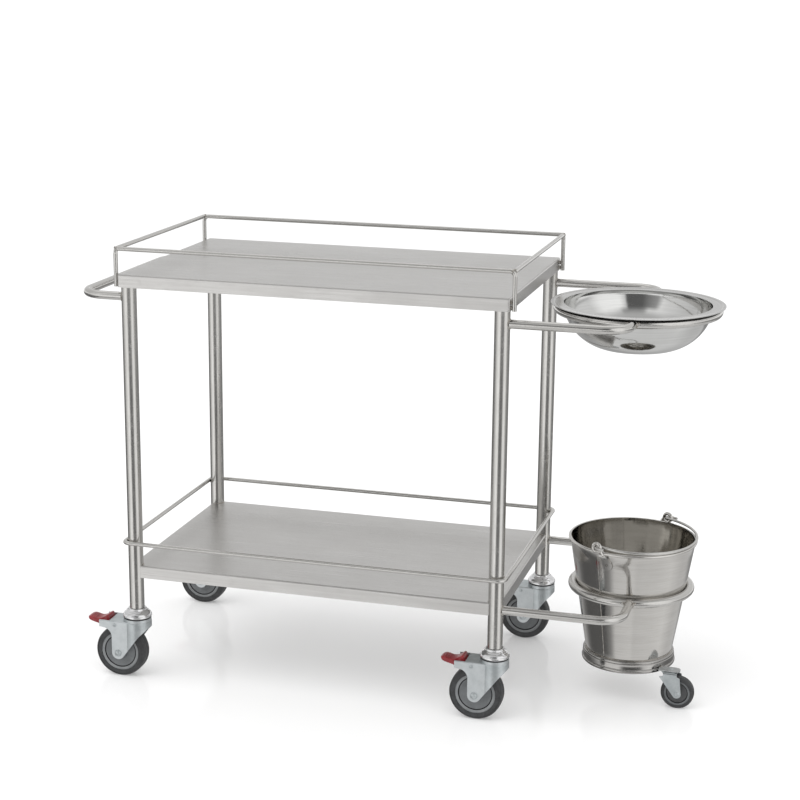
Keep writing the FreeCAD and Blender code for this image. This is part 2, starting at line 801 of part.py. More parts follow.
def fork(corner, base):
    """Pressed fork: round-nosed channel, cut away below to two legs."""
    name = "fork_" + corner
    body = new_body(name)
    blank = new_sketch(body, name + "_blank", "XY_Plane")
    outline(blank, fork_plan("0", "fork_tip"))
    pad(body, blank, "fork_top")
    top = value("fork_top")
    tip = -value("fork_tip")
    round_edges(body, name + "_shoulder", "fork_gauge * 0.8",
                lambda e: at_height(e, top) and e.BoundBox.XMax > tip + 1)
    inner = new_sketch(body, name + "_inner", "XY_Plane")
    outline(inner, fork_plan("fork_gauge", "(fork_tip + 5)"))
    pocket(body, inner, "fork_top - fork_gauge", reverse=True)
    slot = new_sketch(body, name + "_slot", "XY_Plane")
    rectangle(slot, "-(fork_tip + 5)", "-(%s)" % FORK_IN, "-fork_slot", FORK_IN)
    pocket(body, slot)
    side = new_sketch(body, name + "_side", "XZ_Plane")
    foot = "fork_foot_radius"
    heel = "-(trail + %s)" % foot
    arm = "fork_top - fork_skirt"
    outline(side, [
        ("-(fork_tip + 5)", "-5"),
        ("-(fork_tip + 5)", arm),
        ("-(fork_tip - 9)", arm + " - 2"),
        (heel, "fork_top * 0.74", "-18"),
        (heel, AXLE_Z),
        ("-trail", "%s - %s" % (AXLE_Z, foot), foot),
        ("-trail + %s * 0.77" % foot, "%s - %s * 0.638" % (AXLE_Z, foot), foot),
        ("swivel_radius * 0.44", "fork_top * 0.765"),
        ("swivel_radius + 5", "fork_top * 0.765 + swivel_radius * 0.56 + 5"),
        ("swivel_radius + 5", "-5"),
    ])
    pocket(body, side)
    race = new_sketch(body, name + "_race", "XY_Plane", "fork_top - 0.5")
    circles(race, ("0", "0", "swivel_radius - 0.5"))
    pad(body, race, "race_height + 0.5")
    bore = new_sketch(body, name + "_bore", "XY_Plane", "fork_top")
    circles(bore, ("0", "0", "stem_diameter / 2 + running_gap"))
    pocket(body, bore)
    holes = new_sketch(body, name + "_holes", "XZ_Plane")
    circles(holes,
            ("-trail", AXLE_Z, "axle_diameter / 2 + running_gap"),
            ("-pedal_pin_back", "pedal_pin_height", "pedal_pin / 2 + running_gap"))
    pocket(body, holes)
    place(body, *base)
    node(name, body)


def spindle(name, stations, base):
    """A turned part along Y: stations are (radius, y) from one end to the other."""
    first, last = stations[0][1], stations[-1][1]
    points = [("0", first)] + stations + [("0", last)]
    return rolled(name, points, base)


def fork_fasteners(corner, base):
    """Axle bolt with its domed head, hexagon nut, spacers, and the pedal's pin."""
    outside = "fork_width / 2"
    shank = "axle_diameter / 2"
    head = "axle_head / 2"
    axle_base = (base[0] + " - trail", base[1], AXLE_Z)
    bolt = spindle("axle_bolt_" + corner, [
        (head + " - 2.2", "-(%s + axle_head_height)" % outside),
        (head, "-(%s + axle_head_height - 2.4)" % outside),
        (head, "-(%s)" % outside),
        (shank, "-(%s)" % outside),
        (shank, outside + " + axle_head_height"),
    ], axle_base)
    nut_body = new_body("axle_nut_" + corner)
    flats = new_sketch(nut_body, "axle_nut_flats_" + corner, "XZ_Plane", "-(%s)" % outside)
    across = "axle_head / 2 / cos(30)"
    corners = [
        ("%s * cos(%d)" % (across, a), "%s * sin(%d)" % (across, a)) for a in range(0, 360, 60)
    ]
    outline(flats, corners)
    pad(nut_body, flats, "axle_head_height - 0.5", reverse=True)
    thread = new_sketch(nut_body, "axle_nut_bore_" + corner, "XZ_Plane", "-(%s)" % outside)
    circles(thread, ("0", "0", shank + " + running_gap"))
    pocket(nut_body, thread)
    place(nut_body, *axle_base)
    spacers = []
    for side, sign in (("front", "-"), ("back", "")):
        inner = "%s(hub_width / 2 + running_gap * 2)" % sign
        outer = "%s(%s)" % (sign, FORK_IN)
        spacers.append(rolled("axle_spacer_%s_%s" % (side, corner), [
            (shank + " + running_gap", inner),
            (shank + " + 2.2", inner),
            (shank + " + 2.2", outer),
            (shank + " + running_gap", outer),
        ], axle_base))
    pin_base = (base[0] + " - pedal_pin_back", base[1], "pedal_pin_height")
    pin = spindle("pedal_pin_" + corner, [
        ("pedal_pin / 2 + 1", "-(%s + 1)" % outside),
        ("pedal_pin / 2 + 1", "-(%s)" % outside),
        ("pedal_pin / 2", "-(%s)" % outside),
        ("pedal_pin / 2", outside),
        ("pedal_pin / 2 + 1", outside),
        ("pedal_pin / 2 + 1", outside + " + 1"),
    ], pin_base)
    group("fork_fasteners_" + corner, [bolt, nut_body, *spacers, pin])


def brake_pedal(corner, base):
    """Rocker: toe paddle and raised release lobe outside, shoe lug beneath."""
    name = "brake_pedal_" + corner
    body = new_body(name)
    side = new_sketch(body, name + "_side", "XZ_Plane")
    outline(side, [
        ("0", "-3.8"),
        ("-20", "-4.3"),
        ("-25", "-10"),
        ("-31", "-9.5"),
        ("-37", "-4.5"),
        ("-58", "1.5"),
        ("-62", "5.5"),
        ("-58", "8.6", "-4.5"),
        ("-48", "8"),
        ("-38", "5.4", "16"),
        ("-25", "14.6"),
        ("-15.5", "13.4", "-7"),
        ("-15.5", "4.6"),
        ("0", "3.8"),
    ])
    pad(body, side, "pedal_width", midplane=True)
    boss = new_sketch(body, name + "_boss", "XZ_Plane")
    circles(boss, ("0", "0", "pedal_boss"))
    pad(body, boss, "2 * (%s) - 0.8" % FORK_IN, midplane=True)
    toe = new_sketch(body, name + "_toe", "XY_Plane")
    half = "pedal_width / 2"
    for sign in ("-", ""):
        outline(toe, [
            ("-70", "%s(%s - 9)" % (sign, half)),
            ("-62.5", "%s(%s - 9)" % (sign, half)),
            ("-52", "%s(%s + 0.5)" % (sign, half), "9" if sign else "-9"),
            ("-52", "%s(%s + 3)" % (sign, half)),
            ("-70", "%s(%s + 3)" % (sign, half)),
        ])
    pocket(body, toe)
    bore = new_sketch(body, name + "_bore", "XZ_Plane")
    circles(bore, ("0", "0", "pedal_pin / 2 + running_gap"))
    pocket(body, bore)
    place(body, base[0] + " - pedal_pin_back", base[1], "pedal_pin_height")
    node(name, body)


def wheel(corner, base):
    """Tyre moulded on a plastic hub that runs on two ball bearings."""
    spot = (base[0] + " - trail", base[1], AXLE_Z)
    outer = "wheel_diameter / 2"
    seat = outer + " - tyre_depth"
    half = "tyre_width / 2"
    tyre = rolled("tyre_" + corner, [
        (seat, "-(%s)" % half),
        (outer + " - tyre_shoulder", "-(%s)" % half),
        (outer, "-(%s - tyre_shoulder)" % half, "tyre_shoulder + 1"),
        (outer, half + " - tyre_shoulder"),
        (outer + " - tyre_shoulder", half, "tyre_shoulder + 1"),
        (seat, half),
    ], spot)
    node("tyre_" + corner, tyre)
    hub_points = []
    clear = "axle_diameter / 2 + 1"
    pocket_r = "bearing_diameter / 2"
    for sign in ("-", ""):
        face = "%shub_width / 2" % sign
        step = "%s(hub_width / 2 - bearing_width)" % sign
        disc = "%shub_disc_width / 2" % sign
        rim = "%shub_rim_width / 2" % sign
        groove = "%s(hub_disc_width / 2 - hub_groove)" % sign
        half_points = [
            (clear, step),
            (pocket_r, step),
            (pocket_r, face),
            ("hub_boss_radius - 1", face),
            ("hub_boss_radius", disc),
            ("hub_ring_inner - hub_groove", disc),
            ("hub_ring_inner - hub_groove", groove),
            ("hub_ring_inner", groove),
            ("hub_ring_inner", rim),
            (seat, rim),
        ]
        hub_points += half_points if sign else half_points[::-1]
    node("wheel_hub_" + corner, rolled("wheel_hub_" + corner, hub_points, spot))
    rings = []
    for side, sign in (("front", "-"), ("back", "")):
        rings.append(rolled("bearing_%s_%s" % (side, corner), [
            ("axle_diameter / 2 + running_gap", "%s(hub_width / 2 - bearing_width)" % sign),
            (pocket_r, "%s(hub_width / 2 - bearing_width)" % sign),
            (pocket_r, "%shub_width / 2" % sign),
            ("axle_diameter / 2 + running_gap", "%shub_width / 2" % sign),
        ], spot))
    group("wheel_bearings_" + corner, rings)


def main_caster(corner):
    side_x, side_y = CORNERS[corner]
    base = ("%d * %s" % (side_x, LEG_X), "%d * %s" % (side_y, LEG_Y), "0")
    fork(corner, base)
    fork_fasteners(corner, base)
    brake_pedal(corner, base)
    wheel(corner, base)


# Small castor.

MINI_TOP = "(foot_band_bottom + mini_plate_rise)"
MINI_OUT = "mini_radius * cos(mini_angle)"
MINI_X = "bucket_centre + " + MINI_OUT
MINI_Y = "mini_radius * sin(mini_angle)"


def small_caster_plate():
    """Bracket welded to the side of the bucket's foot band, with the castor's pin."""
    plate = new_body("small_caster_plate")
    blank = new_sketch(plate, "small_plate_blank", "XY_Plane")
    half_wide = "mini_plate_wide / 2"
    rectangle(blank, "-mini_plate_in", "-" + half_wide, "mini_plate_out", half_wide)
    pad(plate, blank, "mini_plate_gauge")
    end = value("mini_plate_out")
    round_edges(plate, "small_plate_corners", "4",
                lambda e: e.BoundBox.XMin > end - 1e-3 and e.BoundBox.ZLength > 1)
    seat = new_sketch(plate, "small_plate_seat", "XY_Plane")
    circles(seat, ("-" + MINI_OUT, "-" + MINI_Y, "foot_band_radius + running_gap"))
    pocket(plate, seat)
    pin = new_sketch(plate, "small_plate_pin", "XY_Plane")
    circles(pin, ("0", "0", "mini_pin / 2"))
    pad(plate, pin, "8", reverse=True)
    place(plate, MINI_X, MINI_Y, MINI_TOP)
    node("small_caster_plate", plate)


def small_caster():
    """Light castor beside the bucket's foot band, free to turn right round."""
    axle_z = "mini_wheel / 2"
    inside = "mini_fork_width / 2 - mini_fork_gauge"
    fork_top = "(%s - 1)" % MINI_TOP
    body = new_body("small_caster_fork")
    blank = new_sketch(body, "small_fork_blank", "XY_Plane")
    nose = "mini_fork_width / 2"
    heel = "mini_trail + mini_boss"
    rectangle(blank, "-mini_crown", "-" + nose, heel, nose)
    pad(body, blank, fork_top)
    inner = new_sketch(body, "small_fork_inner", "XY_Plane")
    rectangle(inner, "-30", "-(%s)" % inside, "mini_trail + 30", inside)
    pocket(body, inner, fork_top + " - mini_fork_gauge", reverse=True)
    side = new_sketch(body, "small_fork_side", "XZ_Plane")
    # Above the foot band's lower edge the fork stays narrow, so that it can turn.
    outline(side, [
        ("-30", "-5"),
        ("-30", "foot_band_bottom - 1.5"),
        ("-mini_crown", "foot_band_bottom - 1.5"),
        ("mini_trail - mini_boss", axle_z),
        ("mini_trail", axle_z + " - mini_boss", "mini_boss"),
        (heel, axle_z, "mini_boss"),
        (heel, "foot_band_bottom - 3.5"),
        ("mini_crown", "foot_band_bottom - 1"),
        ("mini_crown", fork_top + " + 5"),
        (heel + " + 5", fork_top + " + 5"),
        (heel + " + 5", "-5"),
    ])
    pocket(body, side)
    crown = new_sketch(body, "small_fork_crown", "XY_Plane", fork_top + " - mini_fork_gauge")
    circles(crown, ("0", "0", nose))
    pad(body, crown, "mini_fork_gauge + 0.7")
    bore = new_sketch(body, "small_fork_bore", "XY_Plane", fork_top)
    circles(bore, ("0", "0", "mini_pin / 2 + running_gap"))
    pocket(body, bore)
    holes = new_sketch(body, "small_fork_holes", "XZ_Plane")
    circles(holes, ("mini_trail", axle_z, "mini_axle / 2 + running_gap"))
    pocket(body, holes)
    place(body, MINI_X, MINI_Y)
    node("small_caster_fork", body)

    spot = ("%s + mini_trail" % MINI_X, MINI_Y, axle_z)
    half = "mini_fork_width / 2"
    node("small_caster_axle", spindle("small_caster_axle", [
        ("mini_axle / 2 + 1.2", "-(%s + 1.6)" % half),
        ("mini_axle / 2 + 2", "-(%s)" % half),
        ("mini_axle / 2", "-(%s)" % half),
        ("mini_axle / 2", half),
        ("mini_axle / 2 + 2", half),
        ("mini_axle / 2 + 1.2", half + " + 1.6"),
    ], spot))
    outer = "mini_wheel / 2"
    seat = outer + " - mini_tyre_depth"
    wide = "mini_tyre_width / 2"
    node("small_caster_tyre", rolled("small_caster_tyre", [
        (seat, "-(%s)" % wide),
        (outer + " - 2.5", "-(%s)" % wide),
        (outer, "-(%s - 2.5)" % wide, "3"),
        (outer, wide + " - 2.5"),
        (outer + " - 2.5", wide, "3"),
        (seat, wide),
    ], spot))
    hub_half = "(%s - 0.2)" % inside
    hub_points = [
        ("mini_axle / 2 + running_gap", "-" + hub_half),
        ("mini_axle / 2 + 4", "-" + hub_half),
        ("mini_axle / 2 + 4.6", "-(%s - 2)" % wide),
        (seat + " - 3", "-(%s - 2)" % wide),
        (seat + " - 3", "-(%s - 0.6)" % wide),
        (seat, "-(%s - 0.6)" % wide),
        (seat, wide + " - 0.6"),
        (seat + " - 3", wide + " - 0.6"),
        (seat + " - 3", wide + " - 2"),
        ("mini_axle / 2 + 4.6", wide + " - 2"),
        ("mini_axle / 2 + 4", hub_half),
        ("mini_axle / 2 + running_gap", hub_half),
    ]
    node("small_caster_hub", rolled("small_caster_hub", hub_points, spot))


# Assembly.

for corner_name in CORNERS:
    leg(corner_name)
top_shelf()
lower_shelf()
upper_rails()
rail_weld_tabs()
lower_guard_rail()
push_handle()
carrier("bowl", "bowl_centre", BOWL_RING_Z, BOWL_RING_R)
carrier("bucket", "bucket_centre", "bucket_ring_height", BUCKET_RING_R)
bowl()
bucket_shell()
bucket_foot_band()
bucket_ears()
bucket_bail()
swivel_heads()
for corner_name in CORNERS:
    main_caster(corner_name)
small_caster_plate()
small_caster()
doc.recompute()

faults = []
for obj in doc.Objects:
    if "Invalid" in obj.State or "Error" in obj.State:
        faults.append("%s %s" % (obj.Name, obj.State))
for node_name, obj in NODES.items():
    if obj.Shape.isNull() or not obj.Shape.isValid() or obj.Shape.Volume <= 0:
        faults.append("bad shape in " + node_name)
if faults:
    raise RuntimeError("; ".join(faults))

os.makedirs("parts", exist_ok=True)
for node_name, obj in NODES.items():
    obj.Shape.exportStep("parts/%s.step" % node_name)
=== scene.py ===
import math
import random

import bmesh
import bpy
from mathutils import Matrix, Quaternion, Vector


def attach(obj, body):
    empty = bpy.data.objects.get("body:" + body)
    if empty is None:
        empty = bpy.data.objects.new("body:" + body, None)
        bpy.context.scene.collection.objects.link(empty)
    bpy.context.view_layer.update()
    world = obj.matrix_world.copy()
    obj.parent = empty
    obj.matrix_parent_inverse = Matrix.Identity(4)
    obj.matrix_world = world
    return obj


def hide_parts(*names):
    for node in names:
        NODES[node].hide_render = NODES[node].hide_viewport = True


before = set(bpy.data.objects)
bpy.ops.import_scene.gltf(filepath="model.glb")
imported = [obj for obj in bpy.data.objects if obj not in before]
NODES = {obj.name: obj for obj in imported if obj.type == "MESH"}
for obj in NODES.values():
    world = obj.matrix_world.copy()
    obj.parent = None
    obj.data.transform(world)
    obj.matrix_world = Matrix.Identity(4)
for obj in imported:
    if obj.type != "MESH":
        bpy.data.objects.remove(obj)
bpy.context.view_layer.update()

# Dressing trolley, dressed for looks. Shapes are given in millimetres in the
# trolley's own layout, with X = 0 midway between the legs, and are moved into the
# frame when a mesh is made.
SHIFT_X = -127.6
TO_FRAME = Matrix.Scale(0.001, 4) @ Matrix.Translation((SHIFT_X, 0, 0))

CORNERS = {
    "front_left": (-1, -1),
    "front_right": (1, -1),
    "back_left": (-1, 1),
    "back_right": (1, 1),
}
LEG_X, LEG_Y, LEG_R = 352, 212, 14
TUBE_R = 8
ROD_R = 4
RUN_IN = 0.6
PEG_SEAM = 3.1
WIRE_R = 2.5
SHEET = 1.2
TRAIL = 32
AXLE_Z = 50
BOWL_X, BOWL_RING_Z, BOWL_RING_R = 556.5, 740, 145.8
BUCKET_X, BUCKET_RING_Z, BUCKET_RING_R = 565, 212, 110.05
CARRIERS = (("bowl", BOWL_X, BOWL_RING_Z, BOWL_RING_R),
            ("bucket", BUCKET_X, BUCKET_RING_Z, BUCKET_RING_R))
ARM_BEND, ARM_LANDING = 44, 14
HANDLE_Z, HANDLE_REACH, HANDLE_BEND = 745, 100, 48
TOP_Z, SHELF_Z = 788, 226
SKIRT = 24
TOP_HALF_X = 367.5
POST_X, POST_Y = 374, 218
RAIL_Z = 834
LOWER_RAIL_Z = 272.5
PEDAL_X, PEDAL_Z = -38, 106.3
BAIL_TURN, BAIL_Z = math.radians(66), 314.5


# Shader groups: each one gives masks and heights that change over the surface.

def new_group(name, inputs, outputs):
    """A node group with its sockets, and its two end nodes."""
    group = bpy.data.node_groups.new(name, "ShaderNodeTree")
    for label, kind, default in inputs:
        socket = group.interface.new_socket(label, in_out="INPUT", socket_type=kind)
        if default is not None:
            socket.default_value = default
    for label, kind in outputs:
        group.interface.new_socket(label, in_out="OUTPUT", socket_type=kind)
    return group, group.nodes.new("NodeGroupInput"), group.nodes.new("NodeGroupOutput")


def add(tree, kind, settings=None, **links):
    """Add a node; settings are its properties, links its inputs by number or name."""
    new = tree.nodes.new("ShaderNode" + kind)
    for key, setting in (settings or {}).items():
        setattr(new, key, setting)
    for key, source in links.items():
        slot = int(key[1:]) if key[0] == "i" and key[1:].isdigit() else key.replace("_", " ")
        if isinstance(source, bpy.types.NodeSocket):
            tree.links.new(source, new.inputs[slot])
        else:
            new.inputs[slot].default_value = source
    return new


def maths(tree, operation, first, second=0.0, third=0.0, clamp=False):
    settings = {"operation": operation, "use_clamp": clamp}
    return add(tree, "Math", settings, i0=first, i1=second, i2=third).outputs[0]


def vector_maths(tree, operation, first, second):
    return add(tree, "VectorMath", {"operation": operation}, i0=first, i1=second)


def noise(tree, place, scale, detail=2.0, **more):
    return add(tree, "TexNoise", Vector=place, Scale=scale, Detail=detail, **more).outputs[0]


def give(group, made, **sources):
    """Link what a group has made to its outputs."""
    for label, source in sources.items():
        group.links.new(source, made.inputs[label])


def spread(tree, source, low, high, to_low=0.0, to_high=1.0):
    """A smooth step from one range to another."""
    ranged = add(tree, "MapRange", {"interpolation_type": "SMOOTHSTEP"},
                 i0=source, i1=low, i2=high, i3=to_low, i4=to_high)
    return ranged.outputs[0]


def hairline_group():
    """Long fine lines that a belt or brush leaves along one direction."""
    group, given, made = new_group(
        "hairline",
        [("Place", "NodeSocketVector", None),
         ("Stretch", "NodeSocketVector", (20.0, 900.0, 900.0)),
         ("Patchiness", "NodeSocketFloat", 0.5)],
        [("Lines", "NodeSocketFloat"), ("Height", "NodeSocketFloat")])
    place = given.outputs["Place"]
    stretched = vector_maths(group, "MULTIPLY", place, given.outputs["Stretch"]).outputs[0]
    fine = noise(group, stretched, 1.0, 3.0, Roughness=0.6)
    broad = noise(group, stretched, 0.17)
    weight = maths(group, "MULTIPLY", noise(group, place, 14.0), given.outputs["Patchiness"])
    mixed = maths(group, "MULTIPLY_ADD", broad, weight, fine)
    give(group, made, Lines=spread(group, mixed, 0.35, 1.0), Height=fine)
    return group


def spun_group():
    """Rings that turning or spinning leaves round an upright axis."""
    group, given, made = new_group(
        "spun_rings",
        [("Place", "NodeSocketVector", None),
         ("Axis", "NodeSocketVector", (0.0, 0.0, 0.0)),
         ("Fineness", "NodeSocketFloat", 900.0)],
        [("Rings", "NodeSocketFloat"), ("Height", "NodeSocketFloat")])
    offset = vector_maths(group, "SUBTRACT", given.outputs["Place"], given.outputs["Axis"])
    x, y, z = add(group, "SeparateXYZ", i0=offset.outputs[0]).outputs
    squares = maths(group, "ADD", maths(group, "POWER", x, 2.0), maths(group, "POWER", y, 2.0))
    radius = maths(group, "SQRT", squares)
    angle = maths(group, "ARCTAN2", y, x)
    slow = maths(group, "MULTIPLY", angle, 0.0025)
    polar = add(group, "CombineXYZ", i0=radius, i1=z, i2=slow).outputs[0]
    scaled = add(group, "VectorMath", {"operation": "SCALE"}, i0=polar,
                 Scale=given.outputs["Fineness"]).outputs[0]
    fine = noise(group, scaled, 1.0, 3.0, Roughness=0.6)
    mixed = maths(group, "MULTIPLY_ADD", noise(group, scaled, 0.12), 0.6, fine)
    give(group, made, Rings=spread(group, mixed, 0.5, 1.1), Height=fine)
    return group


def handling_group():
    """Faint smears and clouds where hands and cloths have been."""
    group, given, made = new_group(
        "handling",
        [("Place", "NodeSocketVector", None), ("Size", "NodeSocketFloat", 12.0)],
        [("Clouds", "NodeSocketFloat"), ("Smears", "NodeSocketFloat")])
    place = given.outputs["Place"]
    clouds = noise(group, place, given.outputs["Size"], 4.0, Roughness=0.55)
    drawn = vector_maths(group, "MULTIPLY", place, (30.0, 95.0, 60.0)).outputs[0]
    smears = noise(group, drawn, 1.0, 3.0, Distortion=1.2)
    give(group, made, Clouds=spread(group, clouds, 0.3, 0.7),
         Smears=spread(group, smears, 0.52, 0.72))
    return group


def wear_group():
    """Where edges are rubbed: the sharper parts of the surface, broken by noise."""
    group, given, made = new_group(
        "edge_wear",
        [("Place", "NodeSocketVector", None),
         ("From", "NodeSocketFloat", 0.52),
         ("Breaks", "NodeSocketFloat", 300.0)],
        [("Wear", "NodeSocketFloat")])
    sharpness = add(group, "NewGeometry").outputs["Pointiness"]
    breaks = noise(group, given.outputs["Place"], given.outputs["Breaks"], 3.0)
    start = maths(group, "MULTIPLY_ADD", breaks, 0.12, given.outputs["From"])
    above = maths(group, "SUBTRACT", sharpness, start)
    give(group, made, Wear=spread(group, above, -0.04, 0.06))
    return group


def dust_group():
    """Pale dust that gathers near the floor."""
    group, given, made = new_group(
        "floor_dust",
        [("Place", "NodeSocketVector", None),
         ("Top", "NodeSocketFloat", 0.11),
         ("Grain", "NodeSocketFloat", 260.0)],
        [("Dust", "NodeSocketFloat")])
    place = given.outputs["Place"]
    height = add(group, "SeparateXYZ", i0=place).outputs[2]
    share = maths(group, "DIVIDE", height, given.outputs["Top"])
    low = maths(group, "SUBTRACT", 1.0, share, clamp=True)
    grains = noise(group, place, given.outputs["Grain"], 4.0, Roughness=0.7)
    speck = spread(group, grains, 0.42, 0.72)
    give(group, made, Dust=maths(group, "MULTIPLY", speck, low))
    return group


HAIRLINE = hairline_group()
SPUN = spun_group()
HANDLING = handling_group()
EDGE_WEAR = wear_group()
FLOOR_DUST = dust_group()


# Materials.

def new_material(name, **shader):
    """A material with a Principled shader whose constant sockets are set here."""
    material = bpy.data.materials.new(name)
    material.use_nodes = True
    tree = material.node_tree
    principled = tree.nodes["Principled BSDF"]
    for key, number in shader.items():
        principled.inputs[key.replace("_", " ")].default_value = number
    place = add(tree, "TexCoord").outputs["Object"]
    return material, tree, principled, place


def use_group(tree, group, **links):
    """Place a shader group in a material with its own values."""
    new = tree.nodes.new("ShaderNodeGroup")
    new.node_tree = group
    for key, source in links.items():
        if isinstance(source, bpy.types.NodeSocket):
            tree.links.new(source, new.inputs[key])
        else:
            new.inputs[key].default_value = source
    return new


def shade_between(tree, mask, low, high):
    """A colour that runs between two along a mask."""
    mixed = add(tree, "Mix", {"data_type": "RGBA"})
    tree.links.new(mask, mixed.inputs["Factor"])
    mixed.inputs[6].default_value = (*low, 1.0)
    mixed.inputs[7].default_value = (*high, 1.0)
    return mixed.outputs[2]


def tint(tree, colour, mask, over):
    """Lay one colour over another where a mask is set."""
    mixed = add(tree, "Mix", {"data_type": "RGBA"})
    tree.links.new(mask, mixed.inputs["Factor"])
    tree.links.new(colour, mixed.inputs[6])
    mixed.inputs[7].default_value = (*over, 1.0)
    return mixed.outputs[2]


FINE_RELIEF, COARSE_RELIEF = 0.0002, 0.0003


def finish(tree, principled, colour, roughness, height, strength, distance=FINE_RELIEF,
           under=None):
    """Give the shader its colour, its roughness and its relief; under is a broader relief."""
    bump = add(tree, "Bump", Height=height, Strength=strength, Distance=distance)
    if under is not None:
        tree.links.new(under, bump.inputs["Normal"])
    for source, socket in ((colour, "Base Color"), (roughness, "Roughness"),
                           (bump.outputs[0], "Normal")):
        tree.links.new(source, principled.inputs[socket])


def brushed_steel(name, stretch, dark, light, smooth, rough, depth):
    """Stainless steel with a satin grain along one direction."""
    material, tree, principled, place = new_material(name, Metallic=1.0)
    grain = use_group(tree, HAIRLINE, Place=place, Stretch=stretch, Patchiness=0.5)
    hands = use_group(tree, HANDLING, Place=place, Size=9.0)
    colour = shade_between(tree, grain.outputs["Lines"], dark, light)
    cloudy = maths(tree, "MULTIPLY", hands.outputs["Clouds"], 0.35)
    colour = tint(tree, colour, cloudy, tuple(0.93 * c for c in dark))
    satin = spread(tree, grain.outputs["Lines"], 0.0, 1.0, rough, smooth)
    smeared = maths(tree, "MULTIPLY_ADD", hands.outputs["Smears"], 0.05, satin)
    finish(tree, principled, colour, smeared, grain.outputs["Height"], depth)
    return material


def spun_steel(name, axis, fineness, dark, light, smooth, rough, depth=0.08, sway=0.0):
    """Stainless steel turned or spun round an upright axis; sway makes it uneven round it."""
    material, tree, principled, place = new_material(name, Metallic=1.0)
    rings = use_group(tree, SPUN, Place=place, Axis=axis, Fineness=fineness)
    hands = use_group(tree, HANDLING, Place=place, Size=16.0)
    colour = shade_between(tree, rings.outputs["Rings"], dark, light)
    colour = tint(tree, colour, maths(tree, "MULTIPLY", hands.outputs["Clouds"], 0.3),
                  tuple(0.9 * c for c in dark))
    satin = spread(tree, rings.outputs["Rings"], 0.0, 1.0, rough, smooth)
    smeared = maths(tree, "MULTIPLY_ADD", hands.outputs["Smears"], 0.06, satin)
    uneven = None
    if sway > 0:
        upright = vector_maths(tree, "MULTIPLY", place, (24, 24, 0.5)).outputs[0]
        waves = noise(tree, upright, 1.0, 0.0)
        uneven = add(tree, "Bump", Height=waves, Strength=1.0, Distance=sway).outputs[0]
    finish(tree, principled, colour, smeared, rings.outputs["Height"], depth, under=uneven)
    return material


def weld_steel(name, dark, light):
    """Weld metal: rippled, duller and a little straw-coloured."""
    material, tree, principled, place = new_material(name, Metallic=1.0)
    ripples = noise(tree, place, 900.0, 3.0)
    hands = use_group(tree, HANDLING, Place=place, Size=120.0)
    colour = shade_between(tree, hands.outputs["Clouds"], dark, light)
    dull = spread(tree, ripples, 0.3, 0.7, 0.28, 0.5)
    finish(tree, principled, colour, dull, ripples, 0.5, COARSE_RELIEF)
    return material


def zinc_plate(name, metal, dark, light):
    """Bright zinc on pressed steel, cool grey with a faint cloudy bloom."""
    material, tree, principled, place = new_material(name, Metallic=metal)
    hands = use_group(tree, HANDLING, Place=place, Size=60.0)
    wear = use_group(tree, EDGE_WEAR, Place=place, From=0.5, Breaks=260.0)
    dust = use_group(tree, FLOOR_DUST, Place=place, Top=0.13, Grain=320.0)
    colour = shade_between(tree, hands.outputs["Clouds"], dark, light)
    colour = tint(tree, colour, maths(tree, "MULTIPLY", wear.outputs["Wear"], 0.5),
                  (0.62, 0.64, 0.65))
    colour = tint(tree, colour, maths(tree, "MULTIPLY", dust.outputs["Dust"], 0.2),
                  (0.34, 0.34, 0.33))
    grains = noise(tree, place, 700.0, 3.0)
    dull = spread(tree, grains, 0.3, 0.7, 0.3, 0.42)
    finish(tree, principled, colour, dull, grains, 0.12)
    return material


def chrome():
    """Bright plating on the turned cups, with a few dull specks."""
    material, tree, principled, place = new_material("cup_plating", Metallic=1.0)
    hands = use_group(tree, HANDLING, Place=place, Size=90.0)
    dust = use_group(tree, FLOOR_DUST, Place=place, Top=0.2, Grain=500.0)
    colour = shade_between(tree, hands.outputs["Clouds"], (0.66, 0.66, 0.66),
                           (0.78, 0.78, 0.79))
    dulled = maths(tree, "MULTIPLY_ADD", dust.outputs["Dust"], 0.25, 0.1)
    smeared = maths(tree, "MULTIPLY_ADD", hands.outputs["Smears"], 0.05, dulled)
    finish(tree, principled, colour, smeared, noise(tree, place, 260.0), 0.08, COARSE_RELIEF)
    return material


def moulded(name, dark, light, smooth, rough, grain_scale, depth, dusty=0.35, worn=None):
    """Moulded plastic or rubber with a fine skin, floor dust and rubbed edges."""
    material, tree, principled, place = new_material(name)
    hands = use_group(tree, HANDLING, Place=place, Size=70.0)
    dust = use_group(tree, FLOOR_DUST, Place=place, Top=0.12, Grain=300.0)
    skin = noise(tree, place, grain_scale, 4.0, Roughness=0.65)
    colour = shade_between(tree, hands.outputs["Clouds"], dark, light)
    pale = tuple(0.5 * c + 0.12 for c in light)
    colour = tint(tree, colour, maths(tree, "MULTIPLY", dust.outputs["Dust"], dusty), pale)
    if worn is not None:
        wear = use_group(tree, EDGE_WEAR, Place=place, From=0.53, Breaks=380.0)
        colour = tint(tree, colour, maths(tree, "MULTIPLY", wear.outputs["Wear"], 0.55), worn)
    dull = spread(tree, skin, 0.3, 0.7, smooth, rough)
    finish(tree, principled, colour, dull, skin, depth)
    return material


STEEL_DARK = (0.55, 0.54, 0.52)
STEEL_LIGHT = (0.63, 0.62, 0.60)
SHELF_DARK = (0.55, 0.54, 0.525)
SHELF_LIGHT = (0.61, 0.602, 0.59)

